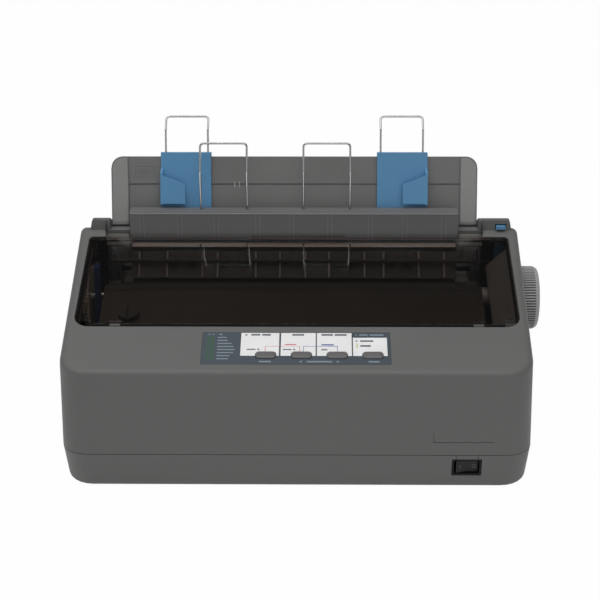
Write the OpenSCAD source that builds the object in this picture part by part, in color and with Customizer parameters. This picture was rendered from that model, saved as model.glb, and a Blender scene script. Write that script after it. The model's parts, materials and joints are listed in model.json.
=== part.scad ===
// Dot matrix printer for the desk: a two-part moulded case with a smoked cover,
// an impact head on a carriage, a rubber platen with a side knob, a tilting sheet
// guide with two paper edge guides, and a pair of pin tractors at the rear.
// X runs to the right, Y to the rear and Z up from the desk.

/* [Case] */
// Width of the case across its side walls
body_w = 348; // [346:1:356]
// Depth of the case from front to rear
body_d = 275; // [272:1:282]
// Height of the rubber feet under the case
foot_h = 2; // [2:0.5:4]
// Height of the seam between the lower and the upper case
seam_h = 31; // [29:0.5:33]
// Thickness of the moulded walls
wall = 2.6; // [2.2:0.1:3]
// Radius of the case corners seen from above
corner_r = 20; // [16:1:24]
// Radius of the long edges of the upper case
edge_r = 5; // [4:0.5:6]
// Height of the front edge of the deck
crease_h = 97; // [95:0.5:99]
// Slope of the deck, degrees
deck_angle = 15.5; // [14.5:0.5:16.5]
// Set-back of the front wall at the top, from its draft
front_draft = 2.5; // [1:0.5:4]
// Gap between the rear edge of the cover and the raised rear blocks
step_gap = 8.75; // [8.5:0.25:10]
// Length of the level shoulder behind the front of the rear blocks
shoulder_len = 3; // [2:0.5:5]
// Height of the raised rear blocks above the deck
block_rise = 10; // [9:0.5:14]
// Height of the rear edge of the case
rear_h = 95; // [94:0.5:97]
// Inward taper of the lower case at its floor
tray_taper = 2.5; // [1.5:0.5:7]
// Radius of the bottom edge of the lower case
tray_r = 4; // [3:0.5:9]
// Widening of the upper case at its shoulders
shoulder_flare = 1.2; // [0:0.2:2]

/* [Cover] */
// Margin between each side of the case and the smoked cover
cover_margin = 8; // [7:0.5:11]
// Length of the cover along the deck
cover_len = 107; // [104:0.5:107]
// Distance of the cover behind the front edge of the deck
cover_s = 51; // [50:0.5:53]
// Radius of the cover's two front corners
cover_corner = 11; // [8:0.5:12]
// Thickness of the cover
cover_t = 2.2; // [1.8:0.1:2.6]
// Gap round the cover
cover_gap = 0.6; // [0.4:0.1:0.8]
// Radius of the hinge barrel along the cover's front edge
barrel_r = 2.4; // [2.2:0.1:2.6]
// Distance of each cover hinge from the side of the cover
hinge_inset = 30.5; // [26:0.5:36]
// Width of each hinge lug
lug_w = 8; // [6:0.5:10]
// Width of the finger grip at the cover's rear edge
grip_w = 80; // [60:1:90]

/* [Control panel] */
// Width of the panel label
panel_w = 138; // [134:1:142]
// Length of the panel label along the deck
panel_len = 34.5; // [33:0.5:36]
// Distance of the label behind the front edge of the deck
panel_s = 9.5; // [9:0.5:11]
// Depth of the recess that the label lies in
label_t = 0.5; // [0.4:0.1:0.8]
// Width of a button
button_w = 15; // [13:0.5:16]
// Length of a button along the deck
button_len = 7.2; // [6.8:0.2:8]
// Travel of a button
button_travel = 1; // [0.8:0.1:1.2]
// Distance from button to button
button_pitch = 26; // [25:0.5:27]

/* [Platen and feed] */
// Middle of the paper path, from the middle of the case
paper_x = -3.7; // [-4:0.1:-3]
// Distance of the platen axis in front of the raised rear blocks
platen_dy = 24; // [23.5:0.5:25]
// Height of the platen axis
platen_h = 94; // [93:0.5:95]
// Radius of the rubber platen
platen_r = 15; // [14:0.25:15.5]
// Gap between each end of the platen and its side frame
platen_end = 16; // [15:0.5:22]
// Radius of the platen shaft
shaft_r = 4; // [3:0.5:5]
// Radius of the paper feed knob
knob_r = 25; // [23:0.5:26]
// Width of the paper feed knob
knob_w = 13.8; // [12:0.2:15]
// Gap between the knob and the case
knob_gap = 2; // [1.5:0.5:4]
// Number of finger ribs round the knob
knob_ribs = 72; // [60:2:80]
// Distance of each side frame inside the side of the case
frame_margin = 30; // [29.5:0.5:31]
// Thickness of the side frames
frame_t = 1.6; // [1.2:0.2:2]
// Gear tooth size, millimetres of diameter per tooth
gear_module = 1; // [1:1:1]
// Teeth on the platen gear and on the tractor gear
big_teeth = 48; // [48:1:48]
// Teeth on the feed idler gear
idler_teeth = 24; // [24:1:24]
// Teeth on the feed motor pinion
pinion_teeth = 12; // [12:1:12]
// Teeth on the tractor idler gear
link_teeth = 31; // [31:1:31]
// Width of the gears
gear_w = 4.5; // [3.5:0.5:5]

/* [Print carriage] */
// Distance of the carriage shaft in front of the platen axis
rail_dy = 42; // [40:0.5:43]
// Depth of the carriage shaft below the platen axis
rail_dz = 24; // [23:0.5:25]
// Radius of the carriage shaft
rail_r = 5; // [4:0.5:5.5]
// Width of the carriage
carriage_w = 44; // [38:1:46]
// Distance of the carriage's rest place from the left side frame
home_margin = 38; // [38:1:46]
// Gap between the print head and the platen
head_gap = 1.3; // [1.2:0.1:1.6]
// Radius of the belt pulleys
pulley_r = 6; // [5:0.5:6.5]
// Thickness of the carriage belt
belt_t = 1.2; // [0.8:0.1:1.4]

/* [Ribbon] */
// Margin between each side of the cover and the ribbon cartridge
cartridge_margin = 20; // [19.5:0.5:21]
// Length of the cartridge along the deck
cartridge_len = 54; // [50:1:55]
// Thickness of the cartridge
cartridge_t = 14; // [12:0.5:14.5]
// Height of the inked ribbon
ribbon_h = 13; // [12:0.5:13]

/* [Sheet guide] */
// Margin between each side of the case and the sheet guide
guide_margin = 27.2; // [27:0.1:30]
// Height of the sheet guide along its slope
guide_h = 56; // [52:0.5:60]
// Lean of the sheet guide, degrees
guide_lean = 17; // [15:0.5:18]
// Width of the thicker flange at each end of the guide
flange_w = 13.8; // [12:0.2:15]
// Depth of the front flap from front to rear
flap_d = 11.5; // [10:0.5:12]
// Height of the front flap
flap_h = 27; // [25:0.5:29]
// Distance between the two paper edges that the guides are set to
paper_w = 209.5; // [200:0.5:215]
// Width of each edge guide
edge_w = 40.3; // [36:0.1:42]
// Radius of the wire stackers
wire_r = 1.1; // [0.9:0.1:1.3]
// Width of the front wire loops
front_wire_w = 37; // [34:0.5:40]
// Width of the rear wire loops
rear_wire_w = 34; // [30:0.5:35]

/* [Tractors] */
// Distance of each tractor's middle from the end of the bay
tractor_margin = 28.8; // [28.8:0.5:36]
// Width of a tractor
tractor_w = 20; // [18:1:22]
// Radius of the sprocket drum
sprocket_r = 12; // [11:0.5:12.5]
// Number of pins round a sprocket
sprocket_pins = 6; // [6:1:8]

/* [Clearances] */
// Radial gap of a shaft in its bore
run_fit = 0.05; // [0.03:0.01:0.08]
// Gap between neighbours that move past each other
slide_gap = 0.4; // [0.3:0.05:0.5]

/* [Hidden] */

$fn = 48;
// Facets on the round ends of a hull
hull_fn = 24;
eps = 0.01;

// The knob stands out on one side only, so the origin is half its reach to the right
knob_end = body_w / 2 + knob_gap + knob_w;
centre_shift = (knob_end - body_w / 2 - shoulder_flare) / 2;

half_w = body_w / 2;
half_d = body_d / 2;
crease_y = front_draft - half_d;
step_y = crease_y + (cover_s + cover_len) * cos(deck_angle) + step_gap;
function deck_z(y) = crease_h + (y - crease_y) * tan(deck_angle);

// Raised rear of the case
shoulder_h = deck_z(step_y + 2);
block_h = deck_z(step_y) + block_rise;
shoulder_end = step_y + shoulder_len;
slope_y = half_d - 2;
block_end = shoulder_end + 0.42 * (slope_y - shoulder_end);
rear_angle = atan((shoulder_h - rear_h) / (slope_y - shoulder_end));
rear_z = shoulder_h - (block_end - shoulder_end) * tan(rear_angle);

// Rear bay, where the guide stands and the tractors run
guide_w = body_w - 2 * guide_margin;
bay_half = guide_w / 2 + slide_gap;
bay_left = paper_x - bay_half;
bay_right = paper_x + bay_half;
bay_floor = 70;
bay_sill = 88;
beam_d = 8;
beam_top = deck_z(step_y);

// Cover in the deck's own plane
cover_w = body_w - 2 * cover_margin;
cover_half = cover_w / 2;
hinge_x = cover_half - hinge_inset;
hinge_s = cover_s + barrel_r;
well_half = cover_half + cover_gap;
cover_rear_s = cover_s + cover_len;
pin_r = 1;

// Platen, gears and shafts
platen_y = step_y - platen_dy;
frame_half = half_w - frame_margin;
frame_left = paper_x - frame_half;
frame_right = paper_x + frame_half;
platen_half = frame_half - platen_end;
gear_x = wall + 2 - half_w;
big_r = big_teeth * gear_module / 2;
idler_r = idler_teeth * gear_module / 2;
pinion_r = pinion_teeth * gear_module / 2;
link_r = link_teeth * gear_module / 2;
idler_dir = -60;
idler_y = platen_y + (big_r + idler_r) * cos(idler_dir);
idler_z = platen_h + (big_r + idler_r) * sin(idler_dir);
pinion_dir = -20;
motor_y = idler_y + (idler_r + pinion_r) * cos(pinion_dir);
motor_z = idler_z + (idler_r + pinion_r) * sin(pinion_dir);
motor_size = 35;
tractor_dir = -6;
link_y = platen_y + (big_r + link_r) * cos(tractor_dir);
link_z = platen_h + (big_r + link_r) * sin(tractor_dir);
tractor_y = platen_y + (2 * big_r + 2 * link_r) * cos(tractor_dir);
tractor_z = platen_h + (2 * big_r + 2 * link_r) * sin(tractor_dir);
hex_r = 4;
rod_dy = 18.5;
stud_r = 2.5;

// Carriage
rail_y = platen_y - rail_dy;
rail_z = platen_h - rail_dz;
home = frame_left + home_margin;
belt_y = rail_y - 23;
belt_w = 6;
belt_z = rail_z - 7;
drive_x = frame_left + 16;
idle_x = frame_right - 18;
belt_gap = 0.3;
chassis_h = 34;
chassis_t = 1.5;
chassis_front = rail_y - 28;
chassis_rear = platen_y + 56;
support_h = rail_z + 10;

// Cartridge, under the cover and parallel to it
cartridge_half = cover_half - cartridge_margin;
cartridge_s = cover_s + 5;
cartridge_n = -9;

// Sheet guide and flap
foot_y = step_y + beam_d + 2;
foot_z = beam_top - 0.6;
panel_t = 3;
flap_y = step_y - 3.5;
flap_base = foot_z - 10;
flap_top = flap_base + flap_h;
flap_half = guide_w / 2 - flange_w - 2.2;
flap_pin_y = step_y + beam_d / 2;
flap_pin_z = beam_top - 3.1;
flap_pin_r = 1.8;
guide_pin_r = 2.2;
guide_pin_yl = panel_t / 2;
guide_pin_zl = 1.5;
wire_y = flap_y + flap_d - 3;
front_wire_x = [paper_x - 55.7, paper_x + 26.2];
rear_wire_half = paper_w / 2 - 19;
lip_reach = 9;
lip_foot = 18;

// Power switch in the front of the lower case
switch_x = half_w - 48.4;
switch_z = 20;
switch_w = 22;
switch_h = 14.4;
rocker_pin_r = 1;

// Release and thickness levers
release_x = half_w - 16.4;
release_w = 7.5;
release_y = step_y + 5;
release_z = platen_h + 18;
lever_x = 13.5 - half_w;
lever_y = platen_y - 18;
lever_z = platen_h - 14;

screw_x = half_w - 16;
screw_y = half_d - 25.5;

// Electronics behind the chassis
board_x = [half_w - 204, half_w - 24];
board_y = [chassis_rear + 8, half_d - 7.5];
board_z = 40;
board_t = 1.6;
supply_x = [30 - half_w, 100 - half_w];
supply_y = [chassis_rear + 8, half_d - 20.5];
supply_z = 10;
tractor_half = guide_w / 2 - tractor_margin;

// ---- shapes shared by several pieces ----

module block(x0, x1, y0, y1, z0, z1) {
    translate([x0, y0, z0])
        cube([x1 - x0, y1 - y0, z1 - z0]);
}

// A side view, drawn as Y and Z, made solid from x0 to x1
module along_x(x0, x1) {
    translate([x0, 0, 0])
        rotate([90, 0, 90])
            linear_extrude(x1 - x0)
                children();
}

// A front view, drawn as X and Z, made solid from y0 to y1
module along_y(y0, y1) {
    translate([0, y1, 0])
        rotate([90, 0, 0])
            linear_extrude(y1 - y0)
                children();
}

module rod_x(r, x0, x1, y, z) {
    translate([x0, y, z])
        rotate([0, 90, 0])
            cylinder(r = r, h = x1 - x0);
}

module rod_y(r, y0, y1, x, z) {
    translate([x, y1, z])
        rotate([90, 0, 0])
            cylinder(r = r, h = y1 - y0);
}

module rod_z(r, z0, z1, x, y) {
    translate([x, y, z0])
        cylinder(r = r, h = z1 - z0);
}

module rounded_rect(w, d, r) {
    square([w - 2 * r, d], center = true);
    square([w, d - 2 * r], center = true);
    for (sx = [-1, 1], sy = [-1, 1])
        translate([sx * (w / 2 - r), sy * (d / 2 - r)])
            circle(r);
}

// Frame on the deck: X across, Y up the slope from the crease, Z out of the deck
module on_deck() {
    translate([0, crease_y, crease_h])
        rotate([deck_angle, 0, 0])
            children();
}

// Frame on the front of the sheet guide: Y to the rear and Z up the guide
module on_guide() {
    translate([paper_x, foot_y, foot_z])
        rotate([-guide_lean, 0, 0])
            children();
}

// A ring with a round rim, for the corners of a moulded shell
module corner_ring(r, rim) {
    rotate_extrude($fn = hull_fn)
        translate([r - rim, 0])
            circle(rim, $fn = hull_fn);
}

// Gear outline with a tooth on the direction turn
function gear_points(teeth, turn) = [
    for (i = [0:teeth - 1], p = [[-1.15, -0.3], [0.85, -0.12], [0.85, 0.12], [-1.15, 0.3]])
        let (r = (teeth / 2 + p[0]) * gear_module, a = turn + (i + p[1]) * 360 / teeth)
            [r * cos(a), r * sin(a)]
];

module gear(teeth, turn, y, z, bore) {
    difference() {
        along_x(gear_x, gear_x + gear_w)
            translate([y, z])
                polygon(gear_points(teeth, turn));
        rod_x(bore, gear_x - 1, gear_x + gear_w + 1, y, z);
    }
}

// An open wire loop: two legs, a bend, and a round-cornered top
module wire_loop(w, leg, upper, bend) {
    turn_r = 3;
    for (side = [-1, 1]) {
        translate([side * w / 2, 0, 0])
            cylinder(r = wire_r, h = leg, $fn = 24);
        translate([side * w / 2, 0, leg])
            sphere(r = wire_r * 1.08, $fn = 24);
    }
    translate([0, 0, leg])
        rotate([-bend, 0, 0]) {
            for (side = [-1, 1]) {
                translate([side * w / 2, 0, 0])
                    cylinder(r = wire_r, h = upper - turn_r, $fn = 24);
                translate([side * (w / 2 - turn_r), 0, upper - turn_r])
                    rotate([90, 0, 0])
                        rotate([0, 0, side > 0 ? 0 : 90])
                            rotate_extrude(angle = 90, $fn = 24)
                                translate([turn_r, 0])
                                    circle(wire_r, $fn = 24);
            }
            rod_x(wire_r, turn_r - w / 2, w / 2 - turn_r, 0, upper);
        }
}

// ---- case ----

module tray_shape(inset) {
    hull() {
        translate([0, 0, seam_h - eps - slide_gap])
            linear_extrude(eps)
                rounded_rect(body_w - 2 * inset, body_d - 2 * inset, corner_r - inset);
        for (sx = [-1, 1], sy = [-1, 1])
            translate([
                sx * (half_w - tray_taper - corner_r),
                sy * (half_d - tray_taper - corner_r),
                foot_h + tray_r
            ])
                corner_ring(corner_r - inset, tray_r - inset);
    }
}

module lower_case() {
    color("#5d5d5d")
        difference() {
            union() {
                difference() {
                    tray_shape(0);
                    difference() {
                        union() {
                            tray_shape(wall);
                            translate([0, 0, seam_h - 1 - slide_gap])
                                linear_extrude(2)
                                    rounded_rect(
                                        body_w - 2 * wall, body_d - 2 * wall, corner_r - wall);
                        }
                        for (sx = [-1, 1], sy = [-1, 1])
                            rod_z(5, 0, seam_h, sx * screw_x, sy * screw_y);
                    }
                }
                // Posts under the chassis
                for (sx = [-1, 1], y = [chassis_front + 14, chassis_rear - 12])
                    rod_z(5, foot_h + 1, chassis_h, paper_x + sx * (frame_half - 20), y);
                // Posts under the main board
                for (x = [board_x[0] + 8, board_x[1] - 10], y = [board_y[0] + 8, board_y[1] - 8])
                    rod_z(3, foot_h + 1, board_z, x, y);
                // Pads under the power supply
                for (x = [supply_x[0] + 8, supply_x[1] - 8], y = [supply_y[0] + 6, supply_y[1] - 7])
                    rod_z(4, foot_h + 1, supply_z, x, y);
            }
            // Foot sockets
            for (sx = [-1, 1], sy = [-1, 1])
                rod_z(9.1, foot_h - 1, foot_h + 1.2, sx * (half_w - 34), sy * (half_d - 32));
            // Screw holes with their counterbores
            for (sx = [-1, 1], sy = [-1, 1]) {
                rod_z(1.8, 0, seam_h + 5, sx * screw_x, sy * screw_y);
                rod_z(3.6, 0, foot_h + 12, sx * screw_x, sy * screw_y);
            }
            // Opening for the power switch
            block(
                switch_x - switch_w / 2, switch_x + switch_w / 2,
                -half_d - 1, 12 - half_d,
                switch_z - switch_h / 2, switch_z + switch_h / 2
            );
            // Air slots in the floor
            for (i = [-6:6])
                block(i * 9 - 2, i * 9 + 2, -30, 30, 0, foot_h + wall + 2);
        }
}

module upper_outer() {
    ring_s = corner_r - edge_r + edge_r * (1 - sin(deck_angle)) / cos(deck_angle);
    hull() {
        translate([0, 0, seam_h])
            linear_extrude(eps)
                rounded_rect(body_w, body_d, corner_r);
        for (side = [-1, 1]) {
            on_deck()
                translate([side * (half_w - 1.5 - corner_r), ring_s, -edge_r])
                    corner_ring(corner_r, edge_r);
            for (y = [step_y + 2, shoulder_end])
                translate([side * (half_w + shoulder_flare - edge_r), y, shoulder_h - edge_r])
                    sphere(edge_r, $fn = hull_fn);
            translate([side * (half_w - 1 - corner_r), slope_y - edge_r, rear_h - edge_r])
                rotate([-rear_angle, 0, 0])
                    translate([0, edge_r - corner_r, 0])
                        corner_ring(corner_r, edge_r);
        }
    }
}

module upper_inner() {
    ring_s = corner_r - edge_r + edge_r * (1 - sin(deck_angle)) / cos(deck_angle);
    rim = edge_r - wall;
    hull() {
        translate([0, 0, seam_h - 1])
            linear_extrude(eps)
                rounded_rect(body_w - 2 * wall, body_d - 2 * wall, corner_r - wall);
        for (side = [-1, 1]) {
            on_deck()
                translate([side * (half_w - 1.5 - corner_r), ring_s, -edge_r])
                    corner_ring(corner_r - wall, rim);
            for (y = [step_y + 2, shoulder_end])
                translate([side * (half_w + shoulder_flare - edge_r), y, shoulder_h - edge_r])
                    sphere(rim, $fn = hull_fn);
            translate([side * (half_w - 1 - corner_r), slope_y - edge_r, rear_h - edge_r])
                rotate([-rear_angle, 0, 0])
                    translate([0, edge_r - corner_r, 0])
                        corner_ring(corner_r - wall, rim);
        }
    }
}

// Raised block beside the sheet guide; inner and outer are its side faces
module rear_block(inner, outer, inset) {
    side = sign(outer);
    draft = 1.6;
    round_r = 4 - inset;
    x_in = abs(inner) - (inset > 0 ? 1 : 0);
    x_out = abs(outer) - inset;
    intersection() {
        along_x(-half_w, half_w)
            polygon([
                [step_y + inset, beam_top - 8],
                [step_y + inset, block_h - 1.8 - inset],
                [step_y + inset + 0.5, block_h - 0.6 - inset],
                [step_y + inset + 1.6, block_h - inset],
                [step_y + 8, block_h - 3.2 - inset],
                [block_end, rear_z + 1 - inset],
                [block_end, beam_top - 30],
                [shoulder_end, beam_top - 8]
            ]);
        scale([side, 1, 1])
            along_y(step_y - 1, half_d)
                hull() {
                    translate([x_in, beam_top - 40])
                        square([x_out - x_in, 38]);
                    translate([x_in, block_h - inset - 1])
                        square([1, 1]);
                    translate([x_out - draft - round_r, block_h - inset - round_r])
                        circle(round_r);
                }
    }
}

// Stands inside the upper case: screw posts, bay walls and floor, guide beams
module upper_ribs() {
    for (sx = [-1, 1], sy = [-1, 1])
        rod_z(5, seam_h + 3, 200, sx * screw_x, sy * screw_y);
    for (x = [bay_left - wall, bay_right])
        block(x, x + wall, step_y, half_d, bay_floor - wall, 200);
    block(bay_left - 1, bay_right + 1, step_y + 36, half_d, bay_floor - wall, bay_floor);
}

module upper_case() {
    color("#696969")
        difference() {
            union() {
                difference() {
                    union() {
                        upper_outer();
                        rear_block(bay_left, bay_left - 16.4, 0);
                        rear_block(bay_right, bay_right + 26.9, 0);
                    }
                    difference() {
                        union() {
                            upper_inner();
                            rear_block(bay_left, bay_left - 16.4, wall);
                            rear_block(bay_right, bay_right + 26.9, wall);
                        }
                        upper_ribs();
                    }
                    // Well under the cover, then the path up to the guide beams
                    on_deck()
                        translate([0, 0, -wall - 9])
                            linear_extrude(wall + 29)
                                cover_outline(cover_gap);
                    block(
                        bay_left - 3, bay_right + 3, step_y - 20, step_y,
                        beam_top - 16, 200
                    );
                    // Slot for the front flap
                    block(
                        paper_x - flap_half - slide_gap, paper_x + flap_half + slide_gap,
                        step_y - 1, step_y + beam_d + 1, beam_top - 20, 200
                    );
                    // Rear bay
                    block(bay_left, bay_right, step_y + beam_d, half_d + 1, bay_sill, 200);
                    // Recess for the panel label
                    on_deck()
                        block(
                            -panel_w / 2 - 0.2, panel_w / 2 + 0.2,
                            panel_s - 0.2, panel_s + panel_len + 0.2, -label_t, 5
                        );
                }
                // Beams that carry the flap and the guide
                block(
                    bay_left - wall, paper_x - flap_half - slide_gap,
                    step_y, step_y + beam_d, beam_top - 14, beam_top
                );
                block(
                    paper_x + flap_half + slide_gap, bay_right + wall,
                    step_y, step_y + beam_d, beam_top - 14, beam_top
                );
                // Sloping inner wall at the right of the well, and the ledge at its left
                on_deck() {
                    along_y(cover_s + 2, cover_rear_s - 8)
                        polygon([
                            [well_half + 2.5, 0.8 - wall], [well_half, 0.8 - wall],
                            [well_half, -wall - 0.2], [well_half - 17, -23],
                            [well_half - 17, -25], [well_half + 2.5, -wall - 2]
                        ]);
                    along_y(cover_s + 2, cover_rear_s)
                        polygon([
                            [-well_half - 2.5, 0.8 - wall], [-well_half, 0.8 - wall],
                            [-well_half, -wall - 0.2], [2.5 - well_half, -11],
                            [1 - well_half, -12], [-well_half - 2.5, -wall - 2]
                        ]);
                }
                // Lugs of the cover hinge
                for (side = [-1, 1])
                    on_deck() {
                        rod_x(
                            barrel_r - 0.2, side * hinge_x - lug_w / 2,
                            side * hinge_x + lug_w / 2, hinge_s, -barrel_r
                        );
                        block(
                            side * hinge_x - lug_w / 2, side * hinge_x + lug_w / 2,
                            cover_s - 3, hinge_s, -2 * barrel_r + 0.2, -barrel_r
                        );
                    }
            }
            // Bores of the cover hinge
            on_deck()
                for (side = [-1, 1])
                    rod_x(
                        pin_r + run_fit, side * hinge_x - lug_w, side * hinge_x + lug_w,
                        hinge_s, -barrel_r
                    );
            // Bores of the flap and the guide
            rod_x(flap_pin_r + run_fit, bay_left - 1, bay_right + 1, flap_pin_y, flap_pin_z);
            on_guide()
                rod_x(
                    guide_pin_r + run_fit, -bay_half - wall - 1, bay_half + wall + 1,
                    guide_pin_yl, guide_pin_zl
                );
            // Bores of the tractor shafts, and the hole round the idler stud
            rod_x(hex_r + run_fit, bay_left - wall - 1, bay_right + wall + 1, tractor_y, tractor_z);
            rod_x(3 + run_fit, bay_left - wall - 1, bay_right + wall + 1, tractor_y + rod_dy, tractor_z - 4);
            rod_x(stud_r + 1, bay_left - wall - 1, bay_left + 1, link_y, link_z);
            // Hole round the release lever's pin
            rod_x(3, bay_right - 1, bay_right + wall + 1, release_y, release_z);
            // Hole for the knob hub
            rod_x(11, half_w - 12, half_w + 5, platen_y, platen_h);
            // Slot for the release lever
            block(
                release_x - 0.6, release_x + release_w + 0.6, step_y - 1, step_y + wall + 1,
                beam_top + 1.2, beam_top + 5.5
            );
            // Button holes
            on_deck()
                for (i = [0:3])
                    translate([button_x(i), button_s, 0])
                        cube([button_w + 0.6, button_len + 0.6, 20], center = true);
            // Rear openings for the inlet and the connectors
            block(inlet_x - 14, inlet_x + 14, half_d - 6, half_d + 1, inlet_z - 10, inlet_z + 10);
            for (p = port_list)
                block(
                    p[0] - p[1] / 2, p[0] + p[1] / 2, half_d - 6, half_d + 1,
                    port_base, port_base + p[2]
                );
        }
}

button_s = panel_s + 9.6;
function button_x(i) = -22 + i * button_pitch;
inlet_x = 56 - half_w;
inlet_z = 56;
port_base = 41.3;
// Middle, width and height of each connector
port_list = [[half_w - 54, 12.5, 11.5], [half_w - 96, 40, 12], [half_w - 162, 66, 14]];

module rubber_feet() {
    color("#1c1c1c")
        for (sx = [-1, 1], sy = [-1, 1])
            rod_z(9, 0, foot_h + 1.2, sx * (half_w - 34), sy * (half_d - 32));
}

module case_screws() {
    color("#b8b8b8")
        for (sx = [-1, 1], sy = [-1, 1]) {
            rod_z(3.2, foot_h + 9, foot_h + 12, sx * screw_x, sy * screw_y);
            rod_z(1.5, foot_h + 12, seam_h + 3, sx * screw_x, sy * screw_y);
        }
}

// ---- cover ----

// The cover seen along the deck's normal, made larger all round by gap
module cover_outline(gap) {
    hull()
        for (side = [-1, 1]) {
            translate([side * (cover_half - cover_corner), cover_s + cover_corner])
                circle(cover_corner + gap);
            translate([side * (cover_half - 3), cover_rear_s - 3])
                circle(3 + gap, $fn = hull_fn);
        }
}

module printer_cover() {
    notch = lug_w + 2 * slide_gap;
    color("#24221e", 0.7)
        on_deck()
            difference() {
                union() {
                    translate([0, 0, -cover_t])
                        linear_extrude(cover_t)
                            difference() {
                                cover_outline(0);
                                // Room for the barrel, and for the corners to swing up
                                translate([-cover_half, cover_s - 1])
                                    square([cover_w, barrel_r + 1]);
                                for (side = [-1, 1])
                                    translate([side * (cover_half - cover_corner / 2), cover_s + 2.7])
                                        square([cover_corner, 7.4], center = true);
                            }
                    rod_x(
                        barrel_r, cover_corner - cover_half, cover_half - cover_corner,
                        hinge_s, -barrel_r
                    );
                    // Stiffening ribs under the two sides
                    for (side = [-1, 1])
                        block(
                            side * (cover_half - 6) - 0.8, side * (cover_half - 6) + 0.8,
                            cover_s + 12, cover_rear_s - 8, -cover_t - 2, -cover_t
                        );
                    // Finger grip
                    translate([0, cover_rear_s, -cover_t])
                        linear_extrude(cover_t)
                            polygon([
                                [-grip_w / 2, -1], [grip_w / 2, -1],
                                [grip_w / 2 - 4, 2], [4 - grip_w / 2, 2]
                            ]);
                }
                for (side = [-1, 1])
                    block(
                        side * hinge_x - notch / 2, side * hinge_x + notch / 2,
                        cover_s - 2, hinge_s + barrel_r + slide_gap, -10, 2
                    );
            }
    // Moulded pins across the two notches
    color("#24221e")
        on_deck()
            for (side = [-1, 1])
                rod_x(
                    pin_r, side * hinge_x - notch / 2 - eps, side * hinge_x + notch / 2 + eps,
                    hinge_s, -barrel_r
                );
}

// ---- control panel ----

module panel_label() {
    color("#4f5b66")
        on_deck()
            difference() {
                block(-panel_w / 2, panel_w / 2, panel_s, panel_s + panel_len, -label_t, 0);
                for (i = [0:3])
                    translate([button_x(i), button_s, 0])
                        cube([button_w + 0.6, button_len + 0.6, 5], center = true);
            }
}

// A cap that stands 1.2 out of the label, with a flange under the deck
module button_cap(i) {
    color("#6f7376")
        on_deck()
            translate([button_x(i), button_s, 0]) {
                translate([0, 0, -wall - 1])
                    linear_extrude(wall + 2.2)
                        rounded_rect(button_w, button_len, 1.5);
                translate([0, 0, -wall - 0.9])
                    cube([button_w + 2.4, button_len + 2, 1.2], center = true);
            }
}

module button_one() button_cap(0);
module button_two() button_cap(1);
module button_three() button_cap(2);
module button_four() button_cap(3);

// ---- power switch ----

module switch_housing() {
    w = switch_w - 0.4;
    h = switch_h - 0.4;
    color("#161616")
        difference() {
            block(
                switch_x - w / 2, switch_x + w / 2, 1.2 - half_d, 19 - half_d,
                switch_z - h / 2, switch_z + h / 2
            );
            block(
                switch_x - 9.2, switch_x + 9.2, -half_d, 14 - half_d,
                switch_z - 5.3, switch_z + 5.3
            );
            rod_z(rocker_pin_r + run_fit, switch_z - 6.4, switch_z + 6.4, switch_x, 5.2 - half_d);
        }
}

module power_rocker() {
    color("#222222")
        translate([switch_x, 5.2 - half_d, switch_z - 4.9])
            rotate([0, 0, 7])
                linear_extrude(9.8)
                    polygon([
                        [-8.2, -3], [0, -2.1], [8.2, -3], [7.2, 3], [2, 6.5], [-2, 6.5], [-7.2, 3]
                    ]);
    // Pivot pin, in the housing's upper and lower wall
    color("#222222")
        rod_z(rocker_pin_r, switch_z - 6.3, switch_z + 6.3, switch_x, 5.2 - half_d);
}

// ---- electronics ----

module circuit_boards() {
    x = board_x[0];
    y = board_y[0];
    top = board_z + board_t;
    // Main board with its heat sink and chips
    color("#2f6b3a") {
        block(x, board_x[1], y, board_y[1], board_z, top);
        block(x + 50, x + 74, y + 12, y + 36, top, top + 2.4);
        block(x + 90, x + 114, y + 14, y + 30, top, top + 3.4);
        block(x + 130, x + 170, y + 6, y + 12, top, top + 18.4);
    }
    // Panel board under the deck
    color("#2f6b3a")
        on_deck()
            block(-panel_w / 2 + 3, panel_w / 2 - 3, panel_s, panel_s + panel_len - 4, -8.4, -7);
}

module power_supply() {
    sheet = 1.5;
    floor_z = supply_z + sheet;
    color("#a9abad")
        difference() {
            block(supply_x[0], supply_x[1], supply_y[0], supply_y[1], supply_z, supply_z + 38);
            block(
                supply_x[0] + sheet, supply_x[1] - sheet, supply_y[0] + sheet, supply_y[1] - sheet,
                floor_z, supply_z + 50
            );
        }
    // Transformer and the main capacitor
    color("#c8b070") {
        block(
            supply_x[0] + 8, supply_x[0] + 38, supply_y[0] + 8, supply_y[1] - 9,
            floor_z - eps, floor_z + 34
        );
        rod_z(8, floor_z - eps, floor_z + 28, supply_x[1] - 16, (supply_y[0] + supply_y[1]) / 2);
    }
}

module ac_inlet() {
    color("#1a1a1a")
        difference() {
            block(inlet_x - 13.7, inlet_x + 13.7, half_d - 20, half_d - 0.6, inlet_z - 9.7, inlet_z + 9.7);
            block(inlet_x - 12, inlet_x + 12, half_d - 17, half_d, inlet_z - 8, inlet_z + 8);
        }
    color("#c0c0c0")
        for (p = [[-7, -1], [0, 3], [7, -1]])
            block(
                inlet_x + p[0] - 1, inlet_x + p[0] + 1, half_d - 18, half_d - 4,
                inlet_z + p[1] - 2, inlet_z + p[1] + 2
            );
}

module interface_ports() {
    color("#b9bcc0")
        for (p = port_list)
            difference() {
                block(
                    p[0] - p[1] / 2 + 0.3, p[0] + p[1] / 2 - 0.3, half_d - 16, half_d - 0.6,
                    41.6, port_base + p[2] - 0.3
                );
                block(
                    p[0] - p[1] / 2 + 1.6, p[0] + p[1] / 2 - 1.6, half_d - 10, half_d,
                    port_base + 1.2, port_base + p[2] - 1.6
                );
            }
}

// ---- frame ----

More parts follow.
